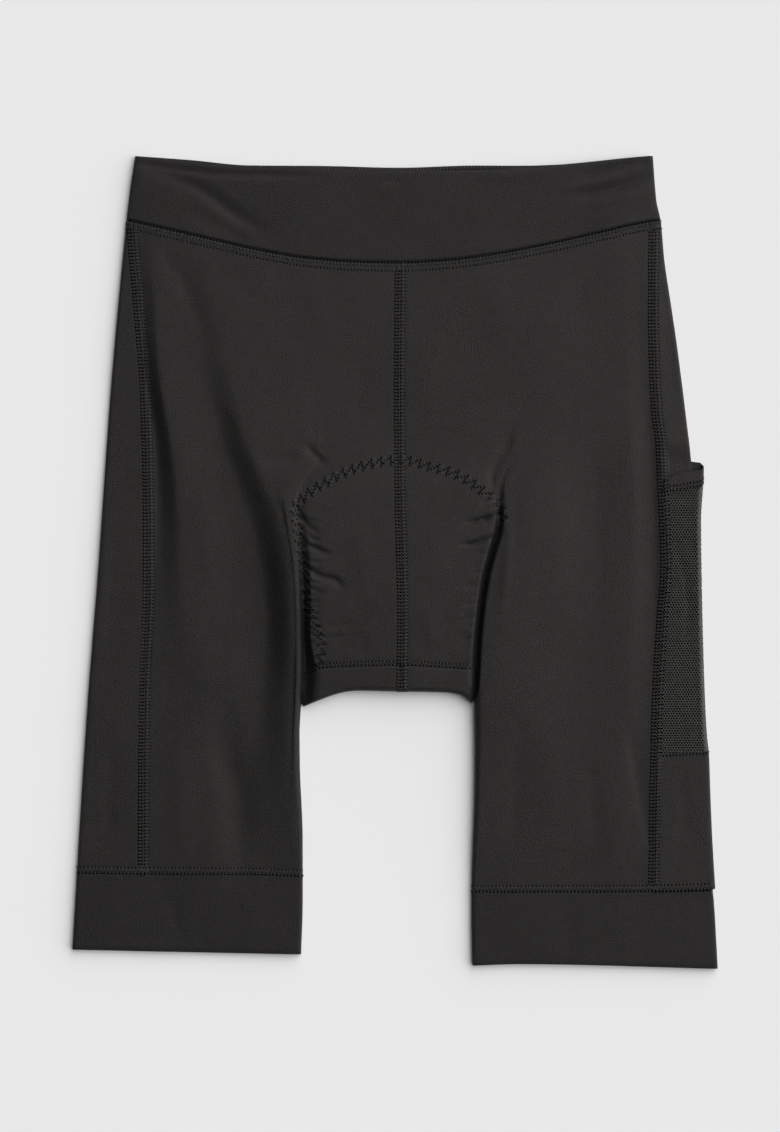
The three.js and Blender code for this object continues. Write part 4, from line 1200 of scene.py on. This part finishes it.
def round_line(y_at, first, last):
    """A seam that runs once round a flat tube between two folds, from the front of the first."""
    def bend(fold, offset, degrees):
        y = y_at(0.0) + offset
        for _ in range(4):
            y = y_at(fold.start(y)) + offset
        top = front_face(np.array([fold.start(y)]), np.array([y]))
        bent, _ = fold_points(fold.tip(y), fold.outwards, fold.reach(y), y, degrees, 0, top)
        angle = np.radians(degrees)
        return fold.start(y), bent, points(fold.outwards * np.cos(angle), 0, np.sin(angle))

    def path(offset):
        x_last, bent_last, normals_last = bend(last, offset, FOLD_ARC)
        x_first, bent_first, normals_first = bend(first, offset, FOLD_ARC[::-1])
        x = np.linspace(x_first, x_last, LINE_PLACES)
        y = y_at(x) + offset
        back = np.linspace(x_last, x_first, BACK_PLACES)
        places = [points(x, y, front_face(x, y)), bent_last,
                  points(back, y_at(back) + offset, UNDER), bent_first]
        normals = [facing(x, 1), normals_last, facing(back, -1), normals_first]
        return sampler(np.concatenate(places), np.concatenate(normals))
    return path


def centre_line(offset):
    """The centre seam: down the front, over the lip's rolled edge and up the back."""
    reach = 3  # of the rolled edge, along y
    y = np.linspace(waist_seam(centre.x(230.0)) - LADDER, crotch_edge(5.0) + reach, LINE_PLACES)
    x = centre.x(y) + offset
    top = points(x, y, front_face(x, y))
    half = (top[-1, 2] - UNDER) / 2
    angle = np.radians(FOLD_ARC)
    roll = points(x[-1], crotch_edge(x[-1]) + reach - reach * np.cos(angle),
                  UNDER + half + half * np.sin(angle))
    below = points(x[::-3], y[::-3], UNDER)
    normals = [facing(y, 1), points(0, -np.cos(angle), np.sin(angle)), facing(below, -1)]
    return sampler(np.concatenate([top, roll, below]), np.concatenate(normals))


def pocket_line(edge, proud):
    """A row along one of the pocket's edges, round the outer fold."""
    def path(offset):
        u = np.linspace(0.05, 7.95, 400)
        y = pocket[edge](u) + offset
        tip = shifted(pocket_outline, proud)
        outer = ribbon_points(left, u, y, SHEET, tip, lambda x, y: -proud + 0 * x)[0]
        angle = np.radians(90 - 45 * np.clip(u - 2, 0, 4))
        return sampler(outer, points(np.cos(angle), 0, np.sin(angle)))
    return path


def flatlock(group, path):
    """Four needle rows, and the cover threads that cross from each to the next."""
    rows = (-FLATLOCK_HALF, -FLATLOCK_INNER, FLATLOCK_INNER, FLATLOCK_HALF)
    for row, hole_shade in zip(rows, (1.2, 1.15, 1.0, 0.9)):
        sew(group, path, row, row, FLATLOCK_PITCH, 0.5, radius=0.26, hole_shade=hole_shade)
    for number, (row, beside) in enumerate(zip(rows, rows[1:])):
        sew(group, path, row + 0.2, beside - 0.2, FLATLOCK_PITCH, 0.45, 0.3 + 0.2 * number,
            radius=0.16, hole_shade=0)


def plain_seam(group, path, half=1.6):
    """A seam on the underside: a needle row on each side of its line, at the distance half, and
    a cover thread between them."""
    for row in (-half, half):
        sew(group, path, row, row, PLAIN_PITCH, 0.76, radius=UNDER_THREAD, hole_shade=0.24)
    sew(group, path, 0.2 - half, half - 0.2, PLAIN_PITCH, 0.5, 0.3, radius=0.09, hole_shade=0)


def zigzag(path):
    """Four stitches on each of its arms."""
    arms = ZIGZAG_HALF * np.array([-1, -0.5, 0, 0.5, 1, 0.5, 0, -0.5, -1])
    for number, (start, stop) in enumerate(zip(arms, arms[1:])):
        sew("pad", path, start, stop, ZIGZAG_PITCH, 0.1, number / 8, radius=0.11, hole_shade=0.8)


# Pitches are from one stitch to the next of its row, along the seam
FLATLOCK_PITCH = 2.3
PLAIN_PITCH = 2.5
WAIST_PITCH = 2.3
HEM_PITCH = 2.5
POCKET_PITCH = 2.3
ZIGZAG_PITCH = 6.7  # of both arms together
ZIGZAG_HALF = 3.0  # from its middle line to its tips
LADDER = 6.6  # the front seams begin this far below the waist seam
PAD_LINE = [(-52.4, -70.9), (-49.6, -60), (-51, -50.5), (-55.8, -39.6), (-59.8, -26),
            (-61.2, -12.4), (-62.6, 1.2), (-64.6, 14.8), (-66.6, 28.4), (-67.3, 37.9),
            (-60.5, 44.7), (-51, 51.5), (-37.4, 59), (-23.8, 64.4), (-10.2, 67.8), (2, 69.2),
            (10.2, 68.5), (23.8, 64.4), (37.4, 61), (51, 54.2), (61.9, 46), (70, 39.2),
            (73.4, 32.4), (72.8, 24.3)]
PAD_BACK_LINE = [(-58, -86), (-64, -40), (-66, 0), (-62, 34), (-45, 56), (-22, 66), (4, 69),
                 (30, 66), (52, 56), (69, 34), (72, 0), (68, -40), (60, -84)]


def sew_all():
    def below(x, _):
        return UNDER + 0 * x

    for side in (right, left):
        seam = side.lines["seam"].x
        y_from = waist_seam(seam(230.0)) - LADDER
        y_to = side.hem_seam(seam(-220.0)) + 1.2
        flatlock(f"side_{side.name}", down_line(seam, y_from, y_to, front_face))
        plain_seam(f"side_{side.name}", down_line(side.back_seam, y_from, y_to, below, -1))
        inseam = shifted(side.inner_edge, -side.inward * INSEAM_IN)
        plain_seam(f"hem_{side.name}", down_line(inseam, CROTCH_Y - 2, y_to, below, -1))
        folds = [fold_of(side.outline, -side.inward, constant(EDGE_FOLD)),
                 fold_of(side.inner_edge, side.inward, side.inner_fold)]
        hem = round_line(side.hem_seam, *folds)
        sew(f"hem_{side.name}", hem, -0.5, 0.7, HEM_PITCH, 0.42, radius=0.26, hole_shade=1.1)
        sew(f"hem_{side.name}", hem, 3.6, 3.6, HEM_PITCH, 0.5, 0.4, radius=0.22, hole_shade=0.95)
    flatlock("centre", centre_line)

    folds = [fold_of(side.outline, -side.inward, constant(EDGE_FOLD)) for side in (right, left)]
    waist = round_line(waist_seam, *folds)
    sew("waist", waist, -0.9, -4.4, WAIST_PITCH, 0.2, radius=0.15, hole_shade=1.1)
    sew("waist", waist, -2.6, -2.6, WAIST_PITCH, 0.4, 0.5, radius=0.2, hole_shade=0.95)
    sew("waist", waist, -6.1, -6.1, WAIST_PITCH, 0.5, hole_shade=0.95)
    rim = across_line(back_top, -172, 171, lambda x, y: UNDER + BAND_SHEET + 0 * x)
    sew("waist", rim, -2.4, -0.5, WAIST_PITCH, 0.3, radius=0.24, hole_shade=0.45)

    cross = across_line(cross_seam, -57, 51, front_face)
    sew("crotch", cross, 0.5, 0.5, 2.6, 0.6, hole_shade=0.9)
    sew("crotch", cross, 3, 3, 2.4, 0.58, 0.3, hole_shade=0.85)
    zigzag(free_line(PAD_LINE, front_face))
    zigzag(free_line(PAD_BACK_LINE, below, -1))
    for edge, proud, offset in (("binding_foot", BINDING_PROUD, 1.2),
                                ("binding_foot", BINDING_PROUD, 4.2),
                                ("net_foot", LOWER_PROUD, -1.2)):
        sew("pocket", pocket_line(edge, proud), offset, offset, POCKET_PITCH, 0.5, radius=0.2,
            hole_shade=0.85)


# Materials

WARM = (1, 0.955, 0.925)  # tint of the cloth's sheen


def nodes_of(name):
    material = bpy.data.materials.new(name)
    material.use_nodes = True
    tree = material.node_tree
    return material, tree, tree.nodes["Principled BSDF"]


def add_node(tree, kind, inputs=None, **settings):
    node = tree.nodes.new(kind)
    for key, value in settings.items():
        setattr(node, key, value)
    for key, value in (inputs or {}).items():
        if isinstance(value, bpy.types.NodeSocket):
            tree.links.new(value, node.inputs[key])
        else:
            node.inputs[key].default_value = value
    return node


def noise(tree, where, scale, detail=2.0, roughness=0.5):
    return add_node(tree, "ShaderNodeTexNoise", {
        "Vector": where, "Scale": scale, "Detail": detail, "Roughness": roughness}).outputs["Fac"]


def math_node(tree, operation, a, b):
    return add_node(tree, "ShaderNodeMath", {0: a, 1: b}, operation=operation).outputs[0]


def weighted(tree, a, share_a, b, share_b):
    return math_node(tree, "ADD", math_node(tree, "MULTIPLY", a, share_a),
                     math_node(tree, "MULTIPLY", b, share_b))


def object_place(tree):
    return add_node(tree, "ShaderNodeTexCoord").outputs["Object"]


def loop_wave(tree, place, direction, pitch, distortion, fine):
    """Waves of yarn loops, pitch mm apart."""
    wave_length = 2 * math.pi / 20  # of the wave texture at scale 1
    return add_node(tree, "ShaderNodeTexWave", {
        "Vector": place, "Scale": wave_length / pitch, "Distortion": distortion, "Detail": 1.0,
        "Detail Scale": fine}, bands_direction=direction).outputs["Fac"]


def map_range(tree, value, low, high, to_low, to_high):
    return add_node(tree, "ShaderNodeMapRange", {
        "Value": value, "From Min": low, "From Max": high, "To Min": to_low,
        "To Max": to_high}).outputs["Result"]


def painted_wall_shade(tree, darkest=0.25):
    """Painted shade: 1 on cloth that faces up or down, and less on upright walls, such as the
    folds' edges, where the colour and sheen tint it scales turn darker as if in shade.
    """
    normal = add_node(tree, "ShaderNodeNewGeometry").outputs["Normal"]
    parts = add_node(tree, "ShaderNodeSeparateXYZ", {"Vector": normal})
    level = math_node(tree, "ABSOLUTE", parts.outputs["Z"], 0)
    return map_range(tree, level, 0.15, 0.65, darkest, 1)


def shaded(tree, colour, shade):
    """A colour, or a colour socket, times a number from another socket."""
    return add_node(tree, "ShaderNodeVectorMath", {0: colour, 1: shade},
                    operation="MULTIPLY").outputs["Vector"]


def knit(name, dark, light, roughness, wale=0.42, course=0.36, relief_depth=0.06,
         specular=0.3, sheen=0.03):
    """A fine knit: wales and courses of loops, with slow changes of tone and gloss, and painted
    shade that darkens its colour and sheen tint on upright walls.
    """
    material, tree, shader = nodes_of(name)
    in_mm = add_node(tree, "ShaderNodeMapping", {
        "Vector": object_place(tree), "Scale": (1 / MM, 1 / MM, 1 / MM)})
    place = in_mm.outputs["Vector"]
    across = loop_wave(tree, place, "X", wale, 0.6, 0.4)
    along = loop_wave(tree, place, "Y", course, 0.8, 0.5)
    loops = math_node(tree, "MULTIPLY", across, math_node(tree, "ADD", along, 0.7))
    mottle = noise(tree, place, 0.16, 3.0, 0.6)
    grain = noise(tree, place, 1.3, 2.0, 0.7)
    tone = map_range(tree, weighted(tree, mottle, 0.55, grain, 0.45), 0.32, 0.68, 0, 1)
    colour = add_node(tree, "ShaderNodeMix", {"Factor": tone, "A": (*dark, 1), "B": (*light, 1)},
                      data_type="RGBA")
    # Painted shade: the base colour and the sheen tint are darkened on upright walls, such as the
    # folds' edges.
    shade = painted_wall_shade(tree)
    tree.links.new(shaded(tree, colour.outputs["Result"], shade), shader.inputs["Base Color"])
    tree.links.new(shaded(tree, WARM, shade), shader.inputs["Specular Tint"])
    gloss = map_range(tree, mottle, 0.3, 0.7, roughness + 0.05, roughness - 0.05)
    tree.links.new(gloss, shader.inputs["Roughness"])
    bump = add_node(tree, "ShaderNodeBump", {
        "Height": weighted(tree, loops, 0.4, grain, 11.0), "Strength": 1.0,
        "Distance": relief_depth * MM})
    tree.links.new(bump.outputs["Normal"], shader.inputs["Normal"])
    shader.inputs["Specular IOR Level"].default_value = specular
    shader.inputs["Sheen Weight"].default_value = sheen
    shader.inputs["Sheen Roughness"].default_value = 0.5
    return material


def yarn(name, colour, roughness):
    """Sewing thread: fine twisted strands, a little glossy. At a high roughness the same nodes make
    the matte, near-black painted shade of the needle holes.
    """
    material, tree, shader = nodes_of(name)
    fibres = noise(tree, object_place(tree), 4000, 2.0, 0.6)
    tone = map_range(tree, fibres, 0.3, 0.7, 0.75, 1.25)
    tree.links.new(shaded(tree, colour, tone), shader.inputs["Base Color"])
    shader.inputs["Roughness"].default_value = roughness
    shader.inputs["Specular IOR Level"].default_value = 0.5 if roughness < 0.6 else 0.05
    return material


def dress(piece, material, slot, *replaced):
    piece.data.materials.append(material)
    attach(piece, "root")
    if replaced:
        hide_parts(*replaced)
    return piece


# Tones of the cloth, dark and light, as linear red, green and blue
jersey = knit("jersey", (0.0035, 0.0032, 0.0031), (0.0065, 0.006, 0.0058), 0.47)
band_jersey = knit("band_jersey", (0.0033, 0.003, 0.0029), (0.0056, 0.0051, 0.005), 0.46,
                   specular=0.27)
net_yarn = knit("net_yarn", (0.057, 0.0572, 0.0535), (0.088, 0.0882, 0.083), 0.65, wale=0.3,
                course=0.3, specular=0.08, sheen=0)
binding_cloth = knit("binding_cloth", (0.0035, 0.0032, 0.0031), (0.006, 0.0055, 0.0054), 0.5)
thread = yarn("thread", (0.05, 0.048, 0.0465), 0.5)
# Near-black painted shade for the needle holes' lenses.
painted_hole_black = yarn("painted_hole_black", (0.0008, 0.0008, 0.0008), 0.9)
pad_cover = knit("pad_cover", (0.004, 0.0038, 0.0037), (0.007, 0.0066, 0.0064), 0.6)

for side in (right, left):
    for part, node, build, material in (
            ("back", "back_panel", back_panel, jersey), ("side", "side_panel", side_panel, jersey),
            ("front", "front_panel", front_panel, jersey),
            ("hem", "hem_band", hem_band, band_jersey)):
        piece = build(side)
        dress(piece, material, "jersey", f"{node}_{side.name}")
for part, is_front in (("front", True), ("back", False)):
    piece = waistband(is_front)
    dress(piece, band_jersey, "jersey", f"waistband_{part}")

binding = pocket_piece(
    "pocket_binding_cloth", lambda u, _: pocket["mouth"](u), lambda u, _: pocket["binding_foot"](u),
    np.array([0, 0.04, 0.1, 0.2, 0.35, 0.5, 0.65, 0.8, 0.92, 1]), BINDING_SHEET, BINDING_PROUD)
dress(binding, binding_cloth, "binding", "pocket_binding")
lower = pocket_piece(
    "pocket_lower_cloth", lambda u, _: pocket["net_foot"](u) + 0.2,
    lambda _, x: left.hem_seam(x) + GAP / 2,
    np.concatenate([[0, 0.004, 0.01, 0.02], np.linspace(0.035, 0.94, 44), [0.96, 0.975, 0.99, 1]]),
    SHEET, LOWER_PROUD)
dress(lower, jersey, "jersey", "pocket_lower_panel")
net = dress(pocket_net(), net_yarn, "net", "pocket_net")
pad = dress(seat_pad(), pad_cover, "pad_cover", "seat_pad")

sew_all()
sewn = {group: dress(add_mesh(f"thread_{group}", *joined(parts)), thread, "thread")
        for group, parts in threads.items()}
# The needle holes' dark lenses, in one piece: painted shade.
holes = dress(add_mesh("painted_hole_shades", *joined(painted_hole_shades)), painted_hole_black, "thread")


# Floor, light and camera

def make_floor():
    size = 40000
    level = -0.2  # just below the lowest stitches
    corners = np.array([(-size, -size, level), (size, -size, level), (size, size, level),
                        (-size, size, level)], float)
    floor = add_mesh("floor", corners, np.array([[0, 1, 2, 3]]))
    material, tree, shader = nodes_of("floor_paper")
    fibres = noise(tree, object_place(tree), 900, 3.0, 0.6)
    tone = add_node(tree, "ShaderNodeMix", {
        "Factor": fibres, "A": (0.80, 0.80, 0.80, 1), "B": (0.812, 0.812, 0.812, 1)},
        data_type="RGBA")
    tree.links.new(tone.outputs["Result"], shader.inputs["Base Color"])
    shader.inputs["Roughness"].default_value = 0.9
    shader.inputs["Specular IOR Level"].default_value = 0.0
    floor.data.materials.append(material)


KEY_AZIMUTH = 30  # of the light, from +X towards +Y, in degrees
KEY_ELEVATION = 24


def light_direction(azimuth, elevation):
    a = math.radians(azimuth)
    e = math.radians(elevation)
    return math.cos(e) * math.cos(a), math.cos(e) * math.sin(a), math.sin(e)


def make_light():
    """A wide soft light from the right and a little above, dim from the left."""
    world = bpy.data.worlds.new("studio")
    bpy.context.scene.world = world
    world.use_nodes = True
    tree = world.node_tree
    background = tree.nodes["Background"]
    where = add_node(tree, "ShaderNodeTexCoord").outputs["Generated"]
    towards = add_node(tree, "ShaderNodeVectorMath", {
        0: where, 1: light_direction(KEY_AZIMUTH, KEY_ELEVATION)}, operation="DOT_PRODUCT")
    glow = add_node(tree, "ShaderNodeMapRange", {
        "Value": towards.outputs["Value"], "From Min": 0.3, "From Max": 0.8, "To Min": 0.03,
        "To Max": 2.95}, interpolation_type="SMOOTHSTEP")
    background.inputs["Color"].default_value = (1, 1, 1, 1)
    tree.links.new(glow.outputs["Result"], background.inputs["Strength"])


def make_camera():
    """Straight above, as in the photograph; its frame is 780 by 1132 pixels of 0.68 mm."""
    pixel = 0.68
    long_side = 1132 * pixel
    distance = 1900
    cloth_height = 5
    camera = bpy.data.cameras.new("camera")
    camera.sensor_fit = "AUTO"
    camera.sensor_width = 36
    camera.lens = 36 * distance / long_side
    camera.clip_end = 100
    holder = bpy.data.objects.new("camera", camera)
    bpy.context.scene.collection.objects.link(holder)
    holder.location = (-3.4 * MM, -2.9 * MM, (distance + cloth_height) * MM)
    bpy.context.scene.camera = holder


make_floor()
make_light()
make_camera()
bpy.context.scene.view_settings.view_transform = "Standard"
